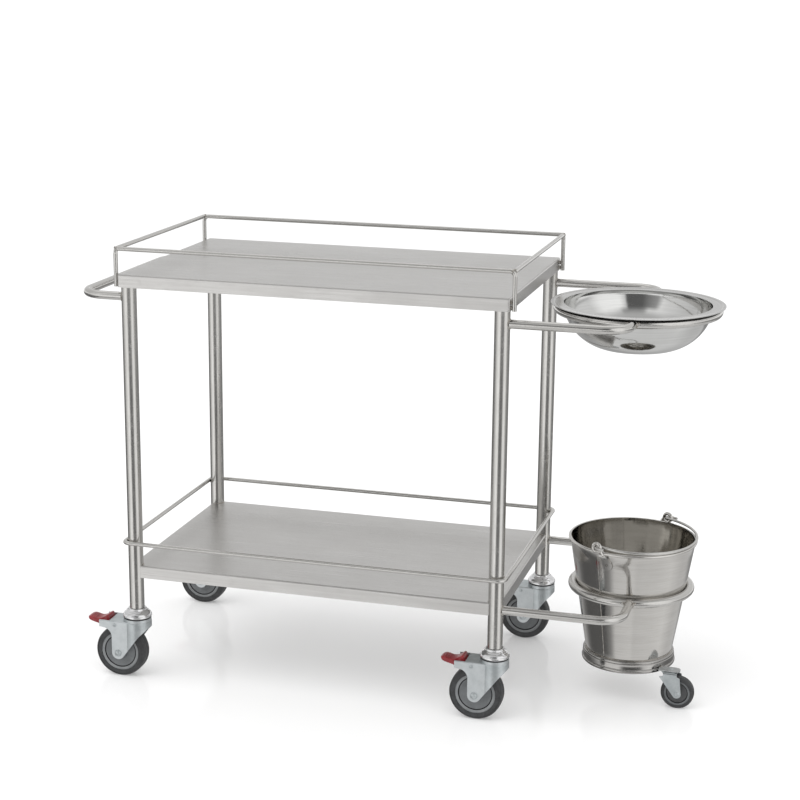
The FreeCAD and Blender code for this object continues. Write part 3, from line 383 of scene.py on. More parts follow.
LEG_STEEL = brushed_steel("leg_steel", (900, 900, 30), STEEL_DARK, STEEL_LIGHT,
                          0.17, 0.24, 0.05)
TUBE_STEEL = brushed_steel("tube_steel", (90, 700, 700), STEEL_DARK, STEEL_LIGHT,
                           0.15, 0.22, 0.04)
ROD_STEEL = brushed_steel("rod_steel", (180, 180, 700), STEEL_DARK, STEEL_LIGHT,
                          0.15, 0.22, 0.04)
SHELF_STEEL = brushed_steel("shelf_steel", (7, 620, 620), SHELF_DARK, SHELF_LIGHT,
                            0.26, 0.34, 0.08)
BOWL_AXIS = ((BOWL_X + SHIFT_X) * 0.001, 0.0, 0.0)
BUCKET_AXIS = ((BUCKET_X + SHIFT_X) * 0.001, 0.0, 0.0)
BOWL_STEEL = spun_steel("bowl_steel", BOWL_AXIS, 700.0, (0.60, 0.60, 0.59),
                        (0.68, 0.68, 0.67), 0.05, 0.10, 0.03)
BOWL_RIM_STEEL = spun_steel("bowl_rim_steel", BOWL_AXIS, 500.0, (0.52, 0.515, 0.505),
                            (0.60, 0.595, 0.585), 0.12, 0.18)
# Near-black steel for the underside of the bowl's rim: painted shadow under the rim, which also
# darkens the ring tube's reflection of it.
RIM_PAINTED_SHADE = spun_steel("rim_painted_shade_steel", BOWL_AXIS, 400.0, (0.03, 0.03, 0.03),
                           (0.06, 0.06, 0.06), 0.4, 0.6)
BUCKET_STEEL = spun_steel("bucket_steel", BUCKET_AXIS, 1100.0, (0.58, 0.565, 0.54),
                          (0.66, 0.645, 0.62), 0.09, 0.14, 0.03)
# A darker copy of the pail's steel for its inside: painted shade inside the pail.
BUCKET_INSIDE_PAINTED_SHADE = spun_steel("bucket_inside_painted_shade_steel", BUCKET_AXIS, 900.0, (0.46, 0.445, 0.415),
                           (0.55, 0.535, 0.505), 0.07, 0.12, 0.03, sway=0.005)
BAND_STEEL = spun_steel("foot_band_steel", BUCKET_AXIS, 700.0, (0.32, 0.31, 0.30),
                        (0.44, 0.43, 0.415), 0.12, 0.2, 0.05)
WELD_STEEL = weld_steel("weld_bead_steel", (0.36, 0.33, 0.29), (0.58, 0.56, 0.53))
# Dark weld metal: the spot welds on the ears, and painted shadow along the edge of each ear's
# foot.
EAR_WELD_AND_EDGE_SHADE = weld_steel("spot_weld_and_edge_shade_steel", (0.12, 0.115, 0.105), (0.26, 0.25, 0.235))
ZINC = zinc_plate("bright_zinc", 0.8, (0.42, 0.455, 0.465), (0.52, 0.555, 0.565))
BRACKET_ZINC = zinc_plate("dull_zinc", 0.45, (0.32, 0.33, 0.33), (0.42, 0.43, 0.43))
CUP_CHROME = chrome()
SEAL_RUBBER = moulded("seal_rubber", (0.012, 0.012, 0.013), (0.02, 0.02, 0.021),
                      0.4, 0.6, 800.0, 0.2)
PAD_RUBBER = moulded("brake_pad_rubber", (0.01, 0.01, 0.01), (0.022, 0.022, 0.022),
                     0.5, 0.75, 600.0, 0.4)
PLUG_PLASTIC = moulded("socket_plug_plastic", (0.03, 0.03, 0.032), (0.05, 0.05, 0.052),
                       0.4, 0.55, 500.0, 0.2)
PEDAL_RED = moulded("pedal_red", (0.20, 0.014, 0.018), (0.27, 0.022, 0.027),
                    0.26, 0.4, 420.0, 0.14, dusty=0.2, worn=(0.48, 0.14, 0.13))
TYRE_RUBBER = moulded("tyre_rubber", (0.026, 0.027, 0.028), (0.044, 0.045, 0.047),
                      0.45, 0.68, 520.0, 0.3, dusty=0.22)
HUB_DISC = moulded("hub_disc_grey", (0.12, 0.128, 0.133), (0.155, 0.164, 0.17),
                   0.32, 0.45, 600.0, 0.14)
SMALL_DISC = moulded("small_hub_grey", (0.045, 0.047, 0.048), (0.07, 0.072, 0.074),
                     0.3, 0.45, 600.0, 0.14)
HUB_RING = moulded("hub_ring_grey", (0.20, 0.21, 0.215), (0.25, 0.26, 0.265),
                   0.34, 0.48, 600.0, 0.14)
# Near-black fill for the hubs' groove: painted shade in the recess.
HUB_GROOVE_PAINTED_SHADE = moulded("hub_groove_painted_shade", (0.01, 0.01, 0.01), (0.016, 0.016, 0.016),
                     0.5, 0.7, 600.0, 0.1)
BEARING_STEEL = spun_steel("bearing_steel", BOWL_AXIS, 2200.0, (0.42, 0.42, 0.42),
                           (0.6, 0.6, 0.6), 0.2, 0.34)


# Mesh helpers.

def new_object(name, data):
    made = bpy.data.objects.new(name, data)
    bpy.context.scene.collection.objects.link(made)
    return made


def piece(name, bm, body, material, smooth=35):
    """Turn a millimetre mesh into a finished piece that rides on a body."""
    bmesh.ops.remove_doubles(bm, verts=bm.verts, dist=0.0005)
    bmesh.ops.dissolve_degenerate(bm, edges=bm.edges, dist=0.0002)
    bmesh.ops.recalc_face_normals(bm, faces=bm.faces)
    bm.transform(TO_FRAME)
    mesh = bpy.data.meshes.new(name)
    bm.to_mesh(mesh)
    bm.free()
    mesh.polygons.foreach_set("use_smooth", [True] * len(mesh.polygons))
    mesh.set_sharp_from_angle(angle=math.radians(smooth))
    made = new_object(name, mesh)
    for item in material if isinstance(material, (list, tuple)) else [material]:
        mesh.materials.append(item)
    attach(made, body)
    return made


def soften(points, radius, steps=3, closed=True):
    """Round the corners of an outline; a third number in a point is its own radius."""
    rounded = []
    count = len(points)
    for i, point in enumerate(points):
        here = Vector(point[:2])
        if not closed and i in (0, count - 1):
            rounded.append(tuple(here))
            continue
        before = Vector(points[i - 1][:2]) - here
        after = Vector(points[(i + 1) % count][:2]) - here
        cut = point[2] if len(point) > 2 else radius
        start = here + before.normalized() * min(cut, before.length * 0.45)
        end = here + after.normalized() * min(cut, after.length * 0.45)
        for step in range(steps + 1):
            t = step / steps
            spot = start * (1 - t) ** 2 + here * 2 * t * (1 - t) + end * t ** 2
            rounded.append(tuple(spot))
    return rounded


def turns(count):
    """Angles that share a full turn evenly."""
    return [2 * math.pi * k / count for k in range(count)]


def mirrored(half):
    """A wheel's profile from its half on the +Y side."""
    return [(r, -h) for r, h in half] + [(r, h) for r, h in reversed(half)]


def join_rings(bm, low, high, choice=0):
    """Add the faces between two rings of vertices."""
    for k in range(len(low)):
        n = (k + 1) % len(low)
        face = bm.faces.new((low[k], low[n], high[n], high[k]))
        face.material_index = choice


def loft(bm, rings):
    """Join rings in their order and close both ends."""
    for low, high in zip(rings, rings[1:]):
        join_rings(bm, low, high)
    bm.faces.new(rings[0][::-1])
    bm.faces.new(rings[-1])


def arc(centre, radius, start, end, steps=12):
    """Points on an arc in degrees."""
    spots = []
    for step in range(steps + 1):
        angle = math.radians(start + (end - start) * step / steps)
        spots.append((centre[0] + radius * math.cos(angle),
                      centre[1] + radius * math.sin(angle)))
    return spots


def turn_profile(bm, profile, centre, axis="Z", steps=96, loop=False, mark=None):
    """Add a solid of revolution; mark(r, h) may choose each face's material."""
    rings = []
    for r, h in profile:
        ring = []
        for a in turns(steps):
            if axis == "Z":
                spot = Vector((r * math.cos(a), r * math.sin(a), h))
            else:
                spot = Vector((r * math.cos(a), h, r * math.sin(a)))
            ring.append(bm.verts.new(Vector(centre) + spot))
        rings.append(ring)
    pairs = list(zip(range(len(rings)), range(1, len(rings))))
    if loop:
        pairs.append((len(rings) - 1, 0))
    for low, high in pairs:
        middle = [(profile[low][i] + profile[high][i]) / 2 for i in (0, 1)]
        join_rings(bm, rings[low], rings[high], mark(*middle) if mark else 0)


def turned_piece(name, profile, centre, body, material, smooth, axis="Z", steps=96,
                 loop=True, mark=None):
    """A piece that is one solid of revolution."""
    bm = bmesh.new()
    turn_profile(bm, profile, centre, axis, steps, loop, mark)
    return piece(name, bm, body, material, smooth)


def bent(points, radius, steps=8):
    """A path in space whose corners are turned at one bend radius."""
    spots = [Vector(p) for p in points]
    path = [spots[0]]
    for before, here, after in zip(spots, spots[1:], spots[2:]):
        a, b = (before - here).normalized(), (after - here).normalized()
        half = a.angle(b) / 2
        inset = radius / math.tan(half)
        centre = here + (a + b).normalized() * (radius / math.sin(half))
        first = here + a * inset - centre
        last = here + b * inset - centre
        normal = first.cross(last).normalized()
        sweep = first.angle(last)
        for step in range(steps + 1):
            turn = Quaternion(normal, sweep * step / steps)
            path.append(centre + turn @ first)
    path.append(spots[-1])
    return path


def sweep_round(bm, path, radius, steps=24, loop=False):
    """Add a tube along a path; radius is a number or one number for each point."""
    count = len(path)
    radii = radius if isinstance(radius, (list, tuple)) else [radius] * count
    tangents = []
    for i in range(count):
        ahead = path[(i + 1) % count] if loop or i < count - 1 else path[i]
        behind = path[i - 1] if loop or i > 0 else path[i]
        tangents.append((ahead - behind).normalized())
    side = tangents[0].orthogonal().normalized()
    rings = []
    for i in range(count):
        side = (side - tangents[i] * side.dot(tangents[i])).normalized()
        other = tangents[i].cross(side)
        ring = []
        for a in turns(steps):
            spot = path[i] + (side * math.cos(a) + other * math.sin(a)) * radii[i]
            ring.append(bm.verts.new(spot))
        rings.append(ring)
    if not loop:
        loft(bm, rings)
        return
    for low, high in zip(rings, rings[1:]):
        join_rings(bm, low, high)
    # The last ring is matched to the first by its nearest vertex.
    shift = min(range(steps), key=lambda s: (rings[-1][0].co - rings[0][s].co).length)
    join_rings(bm, rings[-1], rings[0][shift:] + rings[0][:shift])


def add_bead(bm, path, size, loop=False, ripple=0.16, seed=1):
    """Add a weld bead: a thin tube along a seam with overlapping ripples."""
    rng = random.Random(seed)
    radii = []
    for i in range(len(path)):
        wave = math.sin(i * 2.4) * ripple
        radii.append(size * (1 + wave + rng.uniform(-0.07, 0.07)))
    if not loop:
        radii[0] *= 0.55
        radii[-1] *= 0.55
    sweep_round(bm, path, radii, 8, loop)


def add_slab(bm, points, low, high, spot, axis="Y"):
    """Add a plate: an outline given a thickness along Y, or along Z."""
    def put(a, b, h):
        local = Vector((a, h, b)) if axis == "Y" else Vector((a, b, h))
        return bm.verts.new(Vector(spot) + local)
    lower = [put(a, b, low) for a, b in points]
    upper = [put(a, b, high) for a, b in points]
    bm.faces.new(lower)
    bm.faces.new(upper[::-1])
    for i in range(len(points)):
        n = (i + 1) % len(points)
        bm.faces.new((lower[i], upper[i], upper[n], lower[n]))


def round_over(made, width):
    """Break a piece's sharp edges with a small radius."""
    bevel = made.modifiers.new("edge_round", "BEVEL")
    bevel.width = width * 0.001
    bevel.segments = 2
    bevel.limit_method = "ANGLE"
    bevel.angle_limit = math.radians(35)
    bevel.harden_normals = False


def dress(node_name, material):
    """Give a carried-over node its finish."""
    node = NODES[node_name]
    node.data.materials.clear()
    node.data.materials.append(material)
    for face in node.data.polygons:
        face.material_index = 0


# Frame: tubes, rails and shelves.

def rings_and_arms():
    """The two tube rings and the arms that carry them."""
    for name, middle, height, radius in CARRIERS:
        profile = [(radius + TUBE_R * math.cos(a), height + TUBE_R * math.sin(a))
                   for a in turns(20)]
        ring = turned_piece(name + "_ring_tube", profile, (middle, 0, 0), "frame", TUBE_STEEL,
                            35, steps=128)
        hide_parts(name + "_ring")
        for side, sign in (("front", -1), ("back", 1)):
            bm = bmesh.new()
            touch = radius + TUBE_R * 0.5
            landing = middle + ARM_LANDING
            path = bent([(LEG_X + LEG_R - RUN_IN, sign * LEG_Y, height),
                         (landing, sign * LEG_Y, height),
                         (landing, sign * touch, height)], ARM_BEND, 14)
            sweep_round(bm, path, TUBE_R, 28)
            arm = piece("%s_arm_tube_%s" % (name, side), bm, "frame", TUBE_STEEL)
            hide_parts("%s_arm_%s" % (name, side))


def handle_tube():
    """The push handle's U."""
    bm = bmesh.new()
    near, far = -(LEG_X + LEG_R - RUN_IN), -(LEG_X + HANDLE_REACH)
    corners = [(near, -LEG_Y), (far, -LEG_Y), (far, LEG_Y), (near, LEG_Y)]
    path = bent([(x, y, HANDLE_Z) for x, y in corners], HANDLE_BEND, 14)
    sweep_round(bm, path, TUBE_R, 28)
    handle = piece("push_handle_tube", bm, "frame", TUBE_STEEL)
    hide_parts("push_handle")


def saddle_path(leg_x, leg_y, side, height):
    """Where a level tube runs into a leg: the seam that its weld follows."""
    seam = TUBE_R + 0.4
    path = []
    for a in turns(28):
        y = seam * math.cos(a)
        x = math.sqrt(LEG_R ** 2 - y ** 2)
        path.append(Vector((leg_x + side * x, leg_y + y, height + seam * math.sin(a))))
    return path


ROD_WELD = (-5, -3.3, -1.7, 0, 1.7, 3.3, 5)
TUBE_BEAD, RING_BEAD, BLOB, ROD_BEAD, BUTT_BEAD, SHELF_BEAD = 1.1, 1.5, 1.8, 1.3, 0.8, 1.0


def frame_welds():
    """Beads where tubes, rods and sheets of the frame meet."""
    bm = bmesh.new()
    seed = 10
    for side, height in ((1, BOWL_RING_Z), (1, BUCKET_RING_Z), (-1, HANDLE_Z)):
        for sign in (-1, 1):
            seam = saddle_path(side * LEG_X, sign * LEG_Y, side, height)
            add_bead(bm, seam, TUBE_BEAD, True, seed=seed)
            seed += 1
    piece("tube_welds", bm, "frame", WELD_STEEL, 180)

    bm = bmesh.new()
    seam = TUBE_R + 0.3
    for _, middle, height, radius in CARRIERS:
        for sign in (-1, 1):
            path = []
            for a in turns(28):
                x = ARM_LANDING + seam * math.cos(a)
                z = seam * math.sin(a) * 0.93
                drop = math.sqrt(max(seam ** 2 - z ** 2, 0))
                outer = math.sqrt((radius + drop) ** 2 - x ** 2)
                path.append(Vector((middle + x, sign * (outer + 0.2), height + z)))
            add_bead(bm, path, RING_BEAD, True, seed=seed)
            seed += 1
            for reach in (-10.5, 10.5):
                # The bead runs out into a small blob on each side of the arm.
                x = ARM_LANDING + reach
                out = math.sqrt((radius + 6.6) ** 2 - x ** 2)
                nub = [Vector((middle + x + t, sign * out, height + 3.4))
                       for t in (-2.6, -1.3, 0, 1.3, 2.6)]
                add_bead(bm, nub, BLOB, seed=seed)
    piece("ring_welds", bm, "frame", WELD_STEEL, 180)

    bm = bmesh.new()
    for side_x, side_y in CORNERS.values():
        for lift in (-1, 1):
            # The rod is welded above and below its line of touch.
            z = LOWER_RAIL_Z + lift * 2.6
            front = [Vector((side_x * LEG_X + t, side_y * (LEG_Y + LEG_R + 0.6), z))
                     for t in ROD_WELD]
            end = [Vector((side_x * (LEG_X + LEG_R + 0.6), side_y * LEG_Y + t, z))
                   for t in ROD_WELD]
            add_bead(bm, front, ROD_BEAD, seed=seed)
            add_bead(bm, end, ROD_BEAD, seed=seed + 1)
            seed += 2
    piece("lower_rail_welds", bm, "frame", WELD_STEEL, 180)

    bm = bmesh.new()
    for side_x, side_y in CORNERS.values():
        for drop in (SKIRT * 0.35, SKIRT * 0.75):
            for reach, size in ((TOP_HALF_X + 0.3, 0.7), (TOP_HALF_X + 2.3, 0.6)):
                path = [Vector((side_x * reach, side_y * POST_Y + PEG_SEAM * math.cos(a),
                                TOP_Z - drop + PEG_SEAM * math.sin(a))) for a in turns(16)]
                add_bead(bm, path, size, True, seed=seed)
                seed += 1
    corner_spots = {(-1, -1): (0, 1), (1, -1): (-1, 0), (1, 1): (0, -1), (-1, 1): (1, 0)}
    for (side_x, side_y), (to_x, to_y) in corner_spots.items():
        # The rod that ends here butts against the other rod's bend.
        path = []
        for a in turns(18):
            u, v = (ROD_R + 0.2) * math.cos(a), (ROD_R + 0.2) * math.sin(a)
            lean = ROD_R - math.sqrt(max(ROD_R ** 2 - min(abs(v), ROD_R) ** 2, 0))
            x = side_x * POST_X + (to_x * (ROD_R - lean) if to_x else u)
            y = side_y * POST_Y + (to_y * (ROD_R - lean) if to_y else u)
            path.append(Vector((x, y, RAIL_Z + min(v, 3.1))))
        add_bead(bm, path, BUTT_BEAD, True, seed=seed)
        seed += 1
    piece("upper_rail_welds", bm, "frame", WELD_STEEL, 180)

    bm = bmesh.new()
    for side_x, side_y in CORNERS.values():
        path = []
        for k in range(15):
            a = math.radians(-8 + 106 * k / 14)
            path.append(Vector((side_x * (LEG_X - (LEG_R + 0.4) * math.cos(a)),
                                side_y * (LEG_Y - (LEG_R + 0.4) * math.sin(a)),
                                SHELF_Z + 0.2)))
        add_bead(bm, path, SHELF_BEAD, seed=seed)
        seed += 1
    piece("shelf_welds", bm, "frame", WELD_STEEL, 180)


# Bowl, bucket and bail.

def bowl():
    """Spun basin with a wide stepped rim and a rolled lip."""
    seat = BOWL_RING_Z + TUBE_R + 0.3
    base_r, depth, mouth = 72, 78, 136.64
    curve = 92
    # The wall is one arc from the base's edge to the mouth.
    a, b = Vector((base_r, -depth)), Vector((mouth, 0))
    chord = b - a
    rise = math.sqrt(curve ** 2 - (chord.length / 2) ** 2)
    normal = Vector((-chord.y, chord.x)).normalized()
    centre = (a + b) / 2 + normal * rise
    start = math.degrees(math.atan2(*(a - centre).yx))
    end = math.degrees(math.atan2(*(b - centre).yx))
    outer = arc(centre, curve, start, end, 26)
    inner = arc(centre, curve - SHEET, end - 1.8, start, 26)
    rim = soften([
        (mouth + 0.6, 0.1, 0.4), (152.9, 0, 0.5), (153.8, 1, 0.5), (158.1, 1, 0.5),
        (158.7, 1.5, 0.6), (158.6, 2.2, 0.6), (157.8, 2.2, 0.4), (152.7, 2.2, 0.5),
        (152.0, 1.2, 0.5), (134.6, 1.2, 3.4),
    ], 0.4, 3, closed=False)
    profile = [(r, -depth) for r in (0, 30, 55)] + outer + rim + inner
    profile += [(r, SHEET - depth) for r in (55, 30, 0)]
    # Faces under the rim take the near-black steel: painted shadow under the rim.
    basin = turned_piece("bowl_basin", profile, (BOWL_X, 0, seat), "bowl",
                         [BOWL_STEEL, BOWL_RIM_STEEL, RIM_PAINTED_SHADE], 60,
                         steps=160, loop=False,
                         mark=lambda r, h: 0 if r < 138.5 else 1 if h > 1.1 else 2)
    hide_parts("bowl")


BUCKET_BASE_Z, BUCKET_WALL_TOP = 84.5, 300.5
BUCKET_BASE_R, BUCKET_MOUTH_R = 81, 116.4
SEAM_ANGLE, SEAM_LOW, SEAM_TOP = math.radians(245), 89, 299


def wall_radius(z):
    """The pail's outer radius at a height."""
    share = (z - BUCKET_BASE_Z) / (BUCKET_WALL_TOP - BUCKET_BASE_Z)
    return BUCKET_BASE_R + (BUCKET_MOUTH_R - BUCKET_BASE_R) * share


def bucket():
    """Tapered pail with a rolled rim, a foot band, and its welded seam."""
    base = BUCKET_BASE_Z
    heights = [base + 2 + (299.5 - base - 2) * k / 14 for k in range(15)]
    outer = [(0, base), (40, base), (79.5, base), (80.7, base + 0.5)]
    outer += [(wall_radius(z), z) for z in heights]
    bead = arc((117.05, 303.55), 2.93, -90, 130, 14)
    inner = [(wall_radius(z) - SHEET, z) for z in reversed(heights)]
    inner += [(79.0, base + 1.9)] + [(r, base + SHEET) for r in (78.0, 40, 0)]
    profile = outer + [(116.9, 300.62)] + bead + [(115.2, 305.2), (115.1, 302.5)] + inner

    def inside_of(r, z):
        return int(base + 0.6 < z < 302 and r < wall_radius(z) - 0.6)

    # Inside faces take the darker copy of the steel: painted shade inside the pail.
    shell = turned_piece("bucket_pail", profile, (BUCKET_X, 0, 0), "bucket",
                         [BUCKET_STEEL, BUCKET_INSIDE_PAINTED_SHADE], 50, steps=160,
                         loop=False, mark=inside_of)
    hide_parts("bucket_shell")

    # From the collar: a rounded shoulder, a flared skirt and a rolled lower edge.
    band = soften([
        (81.8, 88.0, 0.2), (83.8, 87.8, 1.4), (85.5, 86.3, 1.4), (85.8, 83.2, 0.4),
        (85.1, 82.6, 0.3), (85.2, 82.0, 0.3), (86.0, 81.5, 0.3), (86.9, 72.6, 0.3),
        (86.3, 72.0, 0.3), (86.4, 71.4, 0.3), (87.5, 70.6, 1.0), (88.0, 68.0, 1.6),
        (87.5, 65.4, 1.2), (86.3, 64.5, 0.8), (85.5, 65.2, 0.4), (85.2, 71.0, 0.4),
        (84.2, 83.4, 0.4), (83.4, 86.2, 0.5), (81.9, 86.6, 0.2),
    ], 0.5, 3)
    foot = turned_piece("bucket_foot", band, (BUCKET_X, 0, 0), "bucket", BAND_STEEL,
                        60, steps=144)
    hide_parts("bucket_foot_band")

    def on_wall(r, angle, z):
        return Vector((BUCKET_X + r * math.cos(angle), r * math.sin(angle), z))

    bm = bmesh.new()
    heights = [SEAM_LOW + (SEAM_TOP - SEAM_LOW) * k / 69 for k in range(70)]
    path = [on_wall(wall_radius(z) - 0.35, SEAM_ANGLE, z) for z in heights]
    add_bead(bm, path, 0.85, ripple=0.05, seed=71)
    path = [on_wall(wall_radius(88.4) + 0.1, a, 88.1) for a in turns(150)]
    add_bead(bm, path, 0.5, True, ripple=0.12, seed=72)
    piece("bucket_seams", bm, "bucket", WELD_STEEL, 180)


EAR_FOOT, EAR_FOOT_R = (17.5, -32.5), 10.4
EAR_EYE_R, EAR_HOLE_R = 9.6, 3.9
EAR_ROLL_R, EAR_ROLL_TUBE = 7.8, 3.3
EAR_GAUGE = 1.9
EAR_STAND = 120.3
SPOT_WELD_R = 2.1


def ear_depth(u, v):
    """How far out the back of an ear's sheet lies: on the wall, then over the rim's bead."""
    wall = math.sqrt(wall_radius(BAIL_Z + v) ** 2 - u ** 2) + 0.1
    share = min(max((v + 18) / 6, 0.0), 1.0)
    share = share * share * (3 - 2 * share)
    return wall + (EAR_STAND - wall) * share


def ears():
    """Stamped ears: a thick ring of an eye, and a rounded foot with its spot weld."""
    lean = math.degrees(math.atan2(EAR_FOOT[1], EAR_FOOT[0]))
    for side, angle in (("back", BAIL_TURN), ("front", BAIL_TURN + math.pi)):
        spin = Matrix.Translation((BUCKET_X, 0, BAIL_Z)) @ Matrix.Rotation(angle, 4, "Z")
        outline = arc(EAR_FOOT, EAR_FOOT_R, lean - 105, lean + 105, 34)
        outline += arc((0, 0), EAR_EYE_R, lean + 62, lean + 298, 40)
        hole = [(u * EAR_HOLE_R / math.hypot(u, v), v * EAR_HOLE_R / math.hypot(u, v))
                for u, v in outline]
        bm = bmesh.new()
        grid = []
        steps = 14
        for lift in (0, EAR_GAUGE):
            rings = []
            for step in range(steps + 1):
                t = step / steps
                spots = [(a * (1 - t) + c * t, b * (1 - t) + d * t)
                         for (a, b), (c, d) in zip(hole, outline)]
                rings.append([bm.verts.new((ear_depth(u, v) + lift, u, v)) for u, v in spots])
            grid.append(rings)
        for rings in grid:
            for low, high in zip(rings, rings[1:]):
                join_rings(bm, low, high)
        for edge in (0, steps):
            join_rings(bm, grid[0][edge], grid[1][edge])
        # The sheet is rolled up round the eye.
        eye = [Vector((EAR_STAND + 1.6, u, v))
               for u, v in arc((0, -1), EAR_ROLL_R, 0, 360, 44)[:-1]]
        sweep_round(bm, eye, EAR_ROLL_TUBE, 12, True)
        bm.transform(spin)
        plate = piece("bucket_ear_plate_" + side, bm, "bucket", BUCKET_STEEL,
                      40)
        if side == "front":
            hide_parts("bucket_ears")

        # A spot weld in the middle of the foot, and a thin dark bead along its edge that is
        # painted shadow round the foot.
        dot = arc(EAR_FOOT, SPOT_WELD_R, 0, 360, 20)[:-1]
        rim = arc(EAR_FOOT, EAR_FOOT_R, lean - 100, lean + 100, 40)
        bm = bmesh.new()
        for spots, lift, size, loop in ((dot, EAR_GAUGE + 0.1, 0.6, True),
                                        (rim, 0.3, 0.5, False)):
            seam = [Vector((ear_depth(u, v) + lift, u, v)) for u, v in spots]
            add_bead(bm, seam, size, loop, seed=81)
        bm.transform(spin)
        piece("bucket_ear_weld_" + side, bm, "bucket", EAR_WELD_AND_EDGE_SHADE, 50)


def bail():
    """Wire handle that lies on the rim; its ends pass out through the ears and hook back."""
    hoop, reach, bend, out, hook = 114.8, 106, 4, 127.2, 18
    blunt = 1.7
    half = [(hook, out), (hook - 0.9, out), (bend * 2, out)]
    half += arc((bend, out - bend), bend, 90, 180, 8)
    half += arc((bend, hoop + bend), bend, 180, 270, 8)
    half.append((3 * bend, hoop))
    half += [(3 * bend + x * reach / hoop, y) for x, y in arc((0, 0), hoop, 90, 0, 30)[1:]]
    flat = half + [(x, -y) for x, y in reversed(half[:-1])]
    path = [Vector((x, y, 0)) for x, y in flat]
    drop = 5.3 / (reach + 3 * bend)
    bm = bmesh.new()
    # The cut ends are dressed to a blunt point.
    sweep_round(bm, path, [blunt] + [WIRE_R] * (len(path) - 2) + [blunt], 16)
    bm.transform(Matrix.Translation((BUCKET_X, 0, BAIL_Z))
                 @ Matrix.Rotation(BAIL_TURN - math.pi / 2, 4, "Z")
                 @ Matrix.Rotation(math.asin(drop), 4, "Y"))
    wire = piece("bail_wire", bm, "bail", ROD_STEEL, 60)
    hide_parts("bucket_bail")


# Castors.

def cups_and_seals():
    """Turned top cups with a rounded band, a dome and a small neck, and their seals."""
    for corner, (side_x, side_y) in CORNERS.items():
        base = (side_x * LEG_X, side_y * LEG_Y, 0)
        profile = [(8, 122.05)]
        profile += soften([(26.3, 122.05, 0.9), (27.5, 122.9, 1.0), (27.5, 126.0, 1.4),
                           (26.6, 127.3, 0.9)], 0.8, 4)
        profile += arc((17.5, 124.2), 9.5, 22, 66, 8)
        profile += soften([(20.2, 134.4, 0.7), (18.6, 135.2, 1.0), (17.6, 136.4, 0.8),
                           (17.4, 138.4, 0.8), (16.4, 139.6, 0.8), (14.6, 139.8, 0.5)], 0.6, 3)
        profile += [(8, 139.8)]
        cup = turned_piece("caster_cup_" + corner, profile, base, "frame", CUP_CHROME,
                           45, steps=64)
        ring = soften([(18, 119.85), (26.0, 119.85, 0.5), (26.6, 120.7, 0.6),
                       (26.3, 121.95, 0.4), (18, 121.95)], 0.2, 3)
        seal = turned_piece("grease_seal_" + corner, ring, base, "frame", SEAL_RUBBER,
                            50, steps=64)
        if corner == "front_left":
            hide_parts("caster_top_cups")
            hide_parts("swivel_seals")


def tyre_profile(outer, seat, half, shoulder):
    """A tyre's side wall and tread, on both sides."""
    side = [(seat, half), (seat + 1.2, half), (seat + 2.4, half - 0.35), (seat + 3.4, half)]
    side += soften([(outer - shoulder - 0.6, half, 1.6), (outer - 1.5, half - 1.5, 2.6),
                    (outer - 0.02, half - shoulder - 0.9, 1.6)], 2.0, 5)
    side += [(outer, half * 0.35), (outer, 0.7), (outer - 0.28, 0.25)]
    return mirrored(side)


MARK_COUNT, MARK_CIRCLE, MARK_R, MARK_RIDGE = 8, 24.5, 1.7, 0.28


def wheel(corner, side_x, side_y):
    """Tyre, hub and bearings of one main castor."""
    centre = (side_x * LEG_X - TRAIL, side_y * LEG_Y, AXLE_Z)
    body = "wheel_" + corner
    profile = tyre_profile(outer=50, seat=38, half=15, shoulder=4)
    tyre = turned_piece("wheel_tyre_" + corner, profile, centre, body, TYRE_RUBBER,
                        40, "Y")
    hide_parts("tyre_" + corner)

    half = soften([
        (5.0, 11.0, 0.1), (11.0, 11.0, 0.2), (11.0, 17.7, 0.3), (11.6, 18.0, 0.3),
        (13.4, 18.0, 0.6), (14.3, 15.5, 0.8), (15.0, 12.5, 1.2), (22.0, 11.9, 3.0),
        (29.6, 12.5, 0.8), (30.6, 12.2, 0.4), (30.6, 10.9, 0.2), (32.2, 10.9, 0.2),
        (32.3, 13.4, 0.5), (33.4, 14.0, 0.8), (36.6, 14.0, 0.8), (38.0, 13.6, 0.3),
    ], 0.3, 2, closed=False)

    # Faces in the groove take the near-black fill: painted shade in the recess.
    bm = bmesh.new()
    turn_profile(bm, mirrored(half), centre, "Y", 96, loop=True,
                 mark=lambda r, h: 1 if r > 32.25 else 2 if r > 30.5 else 0)
    for k in range(MARK_COUNT):
        # Marks that the mould's ejector pins leave on the disc.
        a = 2 * math.pi * (k + 0.5) / MARK_COUNT
        for side in (-1, 1):
            spot = Vector((centre[0] + MARK_CIRCLE * math.cos(a), centre[1] + side * 12.0,
                           centre[2] + MARK_CIRCLE * math.sin(a)))
            ring = [spot + Vector((MARK_R * math.cos(t), 0, MARK_R * math.sin(t)))
                    for t in turns(14)]
            sweep_round(bm, ring, MARK_RIDGE, 6, True)
    hub = piece("wheel_hub_disc_" + corner, bm, body, [HUB_DISC, HUB_RING, HUB_GROOVE_PAINTED_SHADE],
                35)
    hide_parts("wheel_hub_" + corner)

    bm = bmesh.new()
    shape = soften([(4.1, 11.0), (10.9, 11.0), (10.9, 17.9, 0.4), (9.6, 17.9, 0.3),
                    (9.3, 17.4, 0.2), (6.3, 17.4, 0.2), (6.0, 17.9, 0.3), (4.1, 17.9, 0.3)],
                   0.2, 2)
    for sign in (-1, 1):
        turn_profile(bm, [(r, sign * h) for r, h in shape], centre, "Y", 40, loop=True)
    rings = piece("ball_bearings_" + corner, bm, body, BEARING_STEEL, 40)
    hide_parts("wheel_bearings_" + corner)


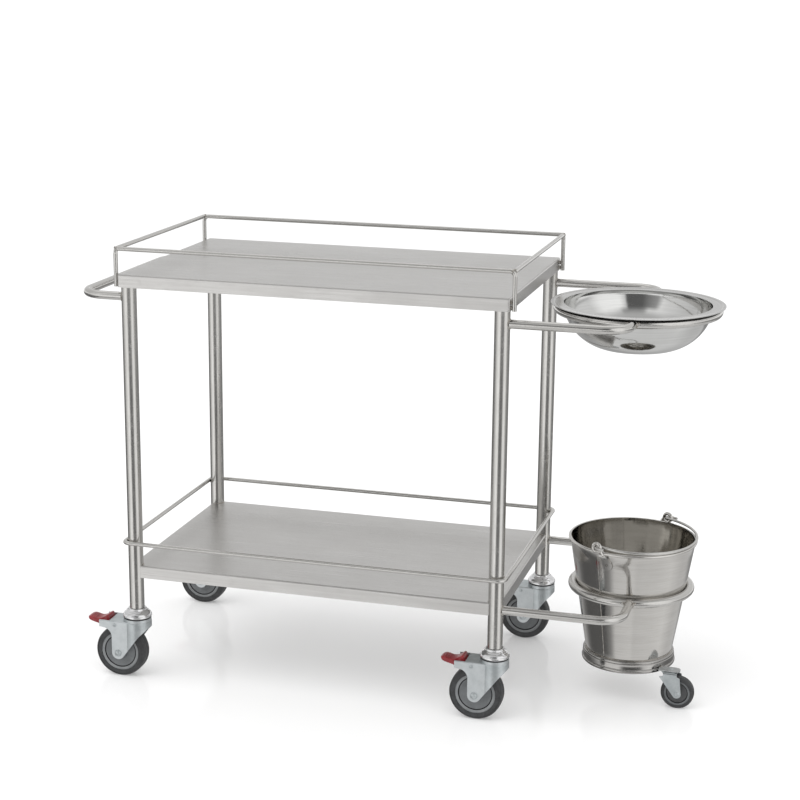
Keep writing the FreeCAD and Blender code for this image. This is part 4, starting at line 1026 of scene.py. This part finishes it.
def fasteners(corner, side_x, side_y):
    """Domed axle bolt, hexagon nut, spacers and pedal pin."""
    centre = (side_x * LEG_X - TRAIL, side_y * LEG_Y, AXLE_Z)
    bm = bmesh.new()
    dome = [(0.01, -28.0), (1.6, -27.95), (3.2, -27.5), (4.8, -26.6), (5.9, -25.5)]
    bolt = dome + soften([(6.5, -24.6, 0.4), (6.5, -24.0), (4.0, -24.0), (4.0, 27.4, 0.4),
                          (3.6, 28.0, 0.3)], 0.3, 2) + [(0.01, 28.0)]
    turn_profile(bm, bolt, centre, "Y", 32)
    hexagon = [(7.5 * math.cos(a), 7.5 * math.sin(a)) for a in turns(6)]
    add_slab(bm, soften(hexagon, 0.9, 2), 24.0, 27.4, centre)
    spacer = [(4.06, 18.2), (6.2, 18.2), (6.2, 21.6), (4.06, 21.6)]
    washer = soften([(6.4, 24.0), (7.3, 24.0), (7.3, 24.5, 0.2), (6.4, 24.5)], 0.1, 2)
    for sign in (-1, 1):
        turn_profile(bm, [(r, sign * h) for r, h in spacer], centre, "Y", 24, loop=True)
        turn_profile(bm, [(r, sign * h) for r, h in washer], centre, "Y", 32, loop=True)
    pin_spot = (side_x * LEG_X + PEDAL_X, side_y * LEG_Y, PEDAL_Z)
    pin = [(0.01, -25.0)] + soften([(2.9, -25.0, 0.6), (3.5, -24.5, 0.4), (3.5, -24.0),
                                    (2.5, -24.0), (2.5, 24.0), (3.5, 24.0), (3.5, 24.5, 0.4),
                                    (2.9, 25.0, 0.6)], 0.2, 2) + [(0.01, 25.0)]
    turn_profile(bm, pin, pin_spot, "Y", 24)
    made = piece("axle_and_pin_" + corner, bm, "swivel_" + corner, ZINC, 35)
    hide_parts("fork_fasteners_" + corner)


PEDAL_TOP = [(4.4, 1.0), (3.6, 2.8), (0, 4.4), (-8, 4.4), (-14.6, 4.6), (-15.4, 6.0),
             (-16.2, 11.6), (-17.0, 13.4), (-18.6, 14.2), (-20.4, 13.9), (-23, 12.4), (-27, 9.8),
             (-31, 7.6), (-35, 6.1), (-39, 5.5), (-43, 6.1), (-48, 7.6), (-53, 8.4),
             (-57, 8.3), (-60, 7.2), (-61.6, 5.9)]
PEDAL_BASE = [(4.4, -1.0), (3.6, -2.8), (0, -4.4), (-20, -4.3), (-24.2, -7.4), (-25.4, -8.4),
              (-30.6, -8.2), (-32, -7.6), (-37, -4.0), (-48, -1.4), (-58, 1.6), (-61.6, 5.0)]


def level(curve, x):
    """Read a curve of (x, z) points that runs towards -X."""
    for (ax, az), (bx, bz) in zip(curve, curve[1:]):
        if bx <= x <= ax:
            return az + (bz - az) * (ax - x) / max(ax - bx, 1e-6)
    return curve[-1][1]


def pedal_width(x):
    """Half the pedal's width: narrow at the boss, waisted, and rounded at the toe."""
    if x < -52:
        reach = min((-52 - x) / 9.7, 1.0)
        return 14 - 9.2 * (1 - math.sqrt(max(1 - reach ** 2, 0.0)))
    waist = min(max((x + 36) / 17, 0.0), 1.0)
    return 14 - 2.6 * math.sin(math.pi * waist) ** 2


def brake_pedal(corner, side_x, side_y):
    """Moulded rocker with a rounded toe, a raised release lobe, grip ribs and its pad."""
    spot = Vector((side_x * LEG_X + PEDAL_X, side_y * LEG_Y, PEDAL_Z))
    stations = sorted({x for x, _ in PEDAL_TOP} | {x for x, _ in PEDAL_BASE}, reverse=True)
    bm = bmesh.new()
    rings = []
    for x in stations:
        top, base = level(PEDAL_TOP, x), level(PEDAL_BASE, x)
        wide = pedal_width(x)
        edge = min(1.6, (top - base) * 0.42)
        section = soften([(-wide, base), (wide, base), (wide, top), (-wide, top)], edge, 3)
        rings.append([bm.verts.new(spot + Vector((x, y, z))) for y, z in section])
    loft(bm, rings)
    turn_profile(bm, soften([(2.56, -21.1), (4.5, -21.1, 0.4), (4.5, 21.1, 0.4), (2.56, 21.1)],
                            0.2, 2), spot, "Y", 24, loop=True)
    for x in (-45, -49, -53):
        wide = pedal_width(x) - 3.2
        z = level(PEDAL_TOP, x) + 0.05
        rib = [spot + Vector((x, wide * t, z)) for t in (-1, -0.9, -0.5, 0, 0.5, 0.9, 1)]
        sweep_round(bm, rib, [0.25, 0.62, 0.68, 0.68, 0.68, 0.62, 0.25], 8)
    body = "pedal_" + corner
    pedal = piece("brake_lever_" + corner, bm, body, PEDAL_RED, 42)
    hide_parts("brake_pedal_" + corner)

    bm = bmesh.new()
    pad = soften([(-23.0, -6.0), (-24.6, -9.5), (-31.2, -9.1), (-34.6, -5.0), (-31.8, -4.2)],
                 0.8, 3)
    add_slab(bm, pad, -14.6, 14.6, spot)
    round_over(piece("brake_pad_" + corner, bm, body, PAD_RUBBER, 35), 0.5)


def main_castors():
    cups_and_seals()
    for corner, (side_x, side_y) in CORNERS.items():
        wheel(corner, side_x, side_y)
        fasteners(corner, side_x, side_y)
        brake_pedal(corner, side_x, side_y)


SMALL_ANGLE = math.radians(-34)
SMALL_OUT = (108 * math.cos(SMALL_ANGLE), 108 * math.sin(SMALL_ANGLE))
SMALL_PIN = (BUCKET_X + SMALL_OUT[0], SMALL_OUT[1])
SMALL_TRAIL, SMALL_AXLE_Z = 14, 31
BRACKET_LOW, BRACKET_TOP, BRACKET_SEAT = 71.75, 74.0, 87.6


def small_wheel():
    """The small castor's tyre and hub."""
    centre = (SMALL_PIN[0] + SMALL_TRAIL, SMALL_PIN[1], SMALL_AXLE_Z)
    profile = tyre_profile(outer=31, seat=24, half=9, shoulder=2.5)
    tyre = turned_piece("small_wheel_tyre", profile, centre, "small_wheel", TYRE_RUBBER,
                        40, "Y", 72)
    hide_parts("small_caster_tyre")

    half = soften([
        (3.06, 12.7), (6.4, 12.7, 0.6), (7.4, 8.0, 0.8), (8.4, 7.0, 0.8), (18.4, 7.0, 0.5),
        (19.0, 6.2, 0.2), (19.8, 6.2, 0.2), (20.4, 8.2, 0.4), (23.4, 8.4, 0.4), (24, 8.2, 0.2),
    ], 0.3, 2, closed=False)
    # Faces in the groove take the near-black fill: painted shade in the recess.
    hub = turned_piece("small_wheel_hub", mirrored(half), centre, "small_wheel",
                       [SMALL_DISC, HUB_DISC, HUB_GROOVE_PAINTED_SHADE], 35, "Y", 72,
                       mark=lambda r, h: 2 if 18.7 < r < 20.1 else int(r >= 20.1))
    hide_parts("small_caster_hub")

    half = soften([(0.01, 16.6), (3.4, 16.6, 1.0), (5.0, 15.0, 0.5), (3.0, 15.0)], 0.4, 3,
                  closed=False)
    axle = turned_piece("small_axle_rivet", mirrored(half), centre, "small_swivel", ZINC,
                        35, "Y", 28, loop=False)
    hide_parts("small_caster_axle")


def small_fork():
    """Pressed fork: two tapered sides, a narrow crown and its swivel race."""
    spot = (*SMALL_PIN, 0)
    axle = (SMALL_TRAIL, SMALL_AXLE_Z)
    side = [(-12.5, 70.4), (-12.5, 64.2), (-19.3, 62.4)]
    side += arc(axle, 8, 214, 356, 14)
    side += [(18.6, 61.6), (12.8, 64.4), (12.8, 70.4)]
    bm = bmesh.new()
    for low, high in ((-15, -13), (13, 15)):
        add_slab(bm, side, low, high, spot)
    bridge = soften([(-15, 68.7), (15, 68.7), (15, 70.7, 1.6), (-15, 70.7, 1.6)], 0.1, 4)
    loft(bm, [[bm.verts.new(Vector(spot) + Vector((x, y, z))) for y, z in bridge]
              for x in (-12.5, 12.8)])
    race = soften([(4.1, 70.2), (13.2, 70.2), (13.6, 71.0, 0.4), (12.8, 71.4, 0.3),
                   (4.1, 71.4)], 0.2, 3)
    turn_profile(bm, race, spot, steps=48, loop=True)
    fork = piece("small_fork_pressing", bm, "small_swivel", ZINC, 35)
    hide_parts("small_caster_fork")
    round_over(fork, 0.45)


def small_bracket():
    """The plate welded to the side of the foot band, with the riveted pin."""
    away = (-SMALL_OUT[0], -SMALL_OUT[1])
    side = math.degrees(math.asin((11 - away[1]) / BRACKET_SEAT))
    end = -math.degrees(math.acos((-22.5 - away[0]) / BRACKET_SEAT))
    edge = arc(away, BRACKET_SEAT, side, end, 10)
    outline = [(-22.5, -10, 2), (10, -11, 4), (17.8, -7, 6), (17.8, 7, 6), (10, 11, 4)] + edge
    bm = bmesh.new()
    add_slab(bm, soften(outline, 0.2, 5), BRACKET_LOW, BRACKET_TOP, (*SMALL_PIN, 0), axis="Z")
    bracket = piece("small_castor_bracket", bm, "bucket", BRACKET_ZINC, 35)
    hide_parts("small_caster_plate")
    round_over(bracket, 0.5)

    bm = bmesh.new()
    rivet = soften([(0.01, 74.7), (3.4, 74.7, 0.8), (4.6, 74.1, 0.4), (4.6, 73.8)], 0.3, 4,
                   closed=False)
    turn_profile(bm, rivet + [(0.01, 73.8)], (*SMALL_PIN, 0), steps=28)
    turn_profile(bm, [(0.01, 64.0), (3.4, 64.0), (4.0, 64.6), (4.0, 72.0), (0.01, 72.0)],
                 (*SMALL_PIN, 0), steps=28)
    piece("small_castor_pin", bm, "bucket", ZINC, 35)

    bm = bmesh.new()
    for height in (71.6, 74.2):
        seam = [Vector((SMALL_PIN[0] + u, SMALL_PIN[1] + v, height))
                for u, v in arc(away, BRACKET_SEAT + 0.6, side - 1, end + 1, 26)]
        add_bead(bm, seam, 1.0, seed=int(height))
    piece("small_bracket_welds", bm, "bucket", WELD_STEEL, 180)


def small_castor():
    """The light castor beside the bucket's foot band."""
    small_wheel()
    small_fork()
    small_bracket()


# Finishes of the nodes that keep their own shape.

def dress_nodes():
    finishes = {
        "top_shelf": SHELF_STEEL,
        "lower_shelf": SHELF_STEEL,
        "rail_weld_tabs": WELD_STEEL,
        "lower_guard_rail": ROD_STEEL,
        "caster_stems": BEARING_STEEL,
        "leg_socket_plugs": PLUG_PLASTIC,
    }
    for side in ("front", "right", "back", "left"):
        finishes["upper_rail_" + side] = ROD_STEEL
    for corner in CORNERS:
        finishes["leg_" + corner] = LEG_STEEL
        finishes["fork_" + corner] = ZINC
    for name, material in finishes.items():
        dress(name, material)


# Studio: floor, soft light and the camera.

CAMERA_SPOT = Vector((0.90453, -3.27272, 1.37912))
CAMERA_YAW, CAMERA_PITCH, CAMERA_ROLL = 0.2751, -0.2436, 0.0096
CAMERA_LENS = 82.52
FLOOR_RADIUS = 70


def camera():
    """The photograph's camera, fitted to its straight edges."""
    forward = Vector((-math.sin(CAMERA_YAW) * math.cos(CAMERA_PITCH),
                      math.cos(CAMERA_YAW) * math.cos(CAMERA_PITCH),
                      math.sin(CAMERA_PITCH)))
    level_right = Vector((math.cos(CAMERA_YAW), math.sin(CAMERA_YAW), 0))
    level_up = level_right.cross(forward)
    cos_roll, sin_roll = math.cos(CAMERA_ROLL), math.sin(CAMERA_ROLL)
    right = level_right * cos_roll + level_up * sin_roll
    up = level_up * cos_roll - level_right * sin_roll
    data = bpy.data.cameras.new("camera")
    data.sensor_width = 36
    data.lens = CAMERA_LENS
    data.clip_start = 0.05
    data.clip_end = 400
    made = new_object("camera", data)
    turn = Matrix((right, up, -forward)).transposed().to_4x4()
    made.matrix_world = Matrix.Translation(CAMERA_SPOT) @ turn
    bpy.context.scene.camera = made


def floor():
    """A wide pale floor with a faint sheen, which polished steel doesn't mirror."""
    bm = bmesh.new()
    bmesh.ops.create_circle(bm, cap_ends=True, segments=96, radius=FLOOR_RADIUS)
    mesh = bpy.data.meshes.new("studio_floor")
    bm.to_mesh(mesh)
    bm.free()
    made = new_object("studio_floor", mesh)
    material, tree, principled, place = new_material(
        "studio_floor_white", Roughness=0.1, Specular_IOR_Level=0.2,
        Emission_Color=(1.0, 1.0, 1.0, 1.0), Emission_Strength=0.23)
    colour = shade_between(tree, noise(tree, place, 1.3), (0.80, 0.80, 0.80),
                           (0.83, 0.83, 0.83))
    tree.links.new(colour, principled.inputs["Base Color"])
    mesh.materials.append(material)
    made.visible_glossy = False


# What polished steel sees round the trolley, by the angle in degrees to the right of
# the camera: a bright panel on each side of it and darkness between them.
ROUND_TONES = [(-180, 0.42), (-150, 0.20), (-112, 0.18), (-98, 0.4), (-82, 0.8), (-54, 1.3),
               (-30, 1.35), (-20, 0.3), (-13, 0.12), (16, 0.12), (23, 0.22), (31, 1.0),
               (45, 1.25), (66, 1.1), (80, 0.42), (98, 0.28), (125, 0.26), (160, 0.32),
               (180, 0.42)]
# Steeply down it sees the pale floor, and at the left the shade under the shelves.
FLOOR_TONES = [(-180, 0.42), (-152, 0.42), (-134, 0.18), (-122, 0.12), (-72, 0.13), (-56, 0.3),
               (-44, 0.72), (-4, 0.80), (4, 0.72), (50, 0.78), (80, 0.86), (110, 0.68),
               (150, 0.62), (180, 0.42)]
# A little upwards it sees a pale tent, open where the camera stands.
TENT_TONES = [(-180, 0.8), (-110, 0.7), (-62, 0.9), (-50, 1.0), (-40, 0.42), (-24, 0.26),
              (-15, 0.15), (11, 0.14), (15, 0.9), (24, 1.25), (60, 1.2), (82, 0.85), (180, 0.8)]


def tones_around(tree, around, tones):
    """A brightness that changes with the direction round the trolley."""
    ramp = add(tree, "ValToRGB", i0=around)
    stops = ramp.color_ramp.elements
    while len(stops) > 1:
        stops.remove(stops[0])
    for i, (degrees, tone) in enumerate(tones):
        spot = degrees / 360 + 0.5
        stop = stops[0] if i == 0 else stops.new(spot)
        stop.position = spot
        stop.color = (tone / 2, tone / 2, tone / 2, 1)
    return maths(tree, "MULTIPLY", ramp.outputs[0], 2.0)


def blend_tone(tree, mask, first, second):
    """Mix two brightnesses by a mask."""
    mixed = add(tree, "Mix", {"data_type": "FLOAT"}, i0=mask, i2=first, i3=second)
    return mixed.outputs[0]


PLAIN_TONE, BACKDROP_TONE, STEEP_DOWN_TONE = 0.86, 1.1, 0.8


def studio_world():
    """The room: white to the camera, even to matt surfaces, toned where steel mirrors it."""
    world = bpy.data.worlds.new("studio")
    bpy.context.scene.world = world
    world.use_nodes = True
    tree = world.node_tree
    background = tree.nodes["Background"]
    way = add(tree, "TexCoord").outputs["Generated"]
    toward = (math.sin(CAMERA_YAW), -math.cos(CAMERA_YAW), 0.0)
    beside = (math.cos(CAMERA_YAW), math.sin(CAMERA_YAW), 0.0)
    ahead = vector_maths(tree, "DOT_PRODUCT", way, toward).outputs["Value"]
    aside = vector_maths(tree, "DOT_PRODUCT", way, beside).outputs["Value"]
    angle = maths(tree, "ARCTAN2", aside, ahead)
    around = maths(tree, "MULTIPLY_ADD", angle, 1 / (2 * math.pi), 0.5)
    sides = tones_around(tree, around, ROUND_TONES)
    below = tones_around(tree, around, FLOOR_TONES)
    above = tones_around(tree, around, TENT_TONES)
    height = add(tree, "SeparateXYZ", i0=way).outputs[2]
    behind = spread(tree, ahead, 0.1, -0.45)
    tent = maths(tree, "MAXIMUM", behind, spread(tree, height, 0.8, 0.6))
    lifted = maths(tree, "MULTIPLY", tent, spread(tree, height, 0.12, 0.22))
    tone = blend_tone(tree, spread(tree, height, -0.38, -0.44), sides, below)
    tone = blend_tone(tree, lifted, tone, above)
    # The pale backdrop all round, where it meets the floor.
    skyline = spread(tree, maths(tree, "ABSOLUTE", height), 0.19, 0.07)
    tone = blend_tone(tree, skyline, tone, BACKDROP_TONE)
    overhead = blend_tone(tree, behind, 0.6, 1.25)
    tone = blend_tone(tree, spread(tree, height, 0.6, 0.9), tone, overhead)
    tone = blend_tone(tree, spread(tree, height, -0.62, -0.9), tone, STEEP_DOWN_TONE)
    rays = add(tree, "LightPath")
    lighting = blend_tone(tree, rays.outputs["Is Glossy Ray"], PLAIN_TONE, tone)
    seen = blend_tone(tree, rays.outputs["Is Camera Ray"], lighting, 1.0)
    tree.links.new(seen, background.inputs["Color"])
    background.inputs["Strength"].default_value = 1.0
    world.cycles.sampling_method = "NONE"


def lamp(name, toward, strength, angle):
    """A broad soft sun that polished steel doesn't mirror."""
    data = bpy.data.lights.new(name, "SUN")
    data.energy = strength
    data.angle = math.radians(angle)
    made = new_object(name, data)
    made.rotation_mode = "QUATERNION"
    made.rotation_quaternion = Vector(toward).to_track_quat("-Z", "Y")
    made.visible_glossy = False


def studio():
    bpy.context.scene.view_settings.view_transform = "Standard"
    floor()
    studio_world()
    lamp("key_light", (0.45, 0.35, -1.0), 0.9, 50)
    lamp("fill_light", (-0.6, 0.5, -1.0), 0.35, 70)


dress_nodes()
rings_and_arms()
handle_tube()
frame_welds()
bowl()
bucket()
ears()
bail()
main_castors()
small_castor()
studio()
camera()
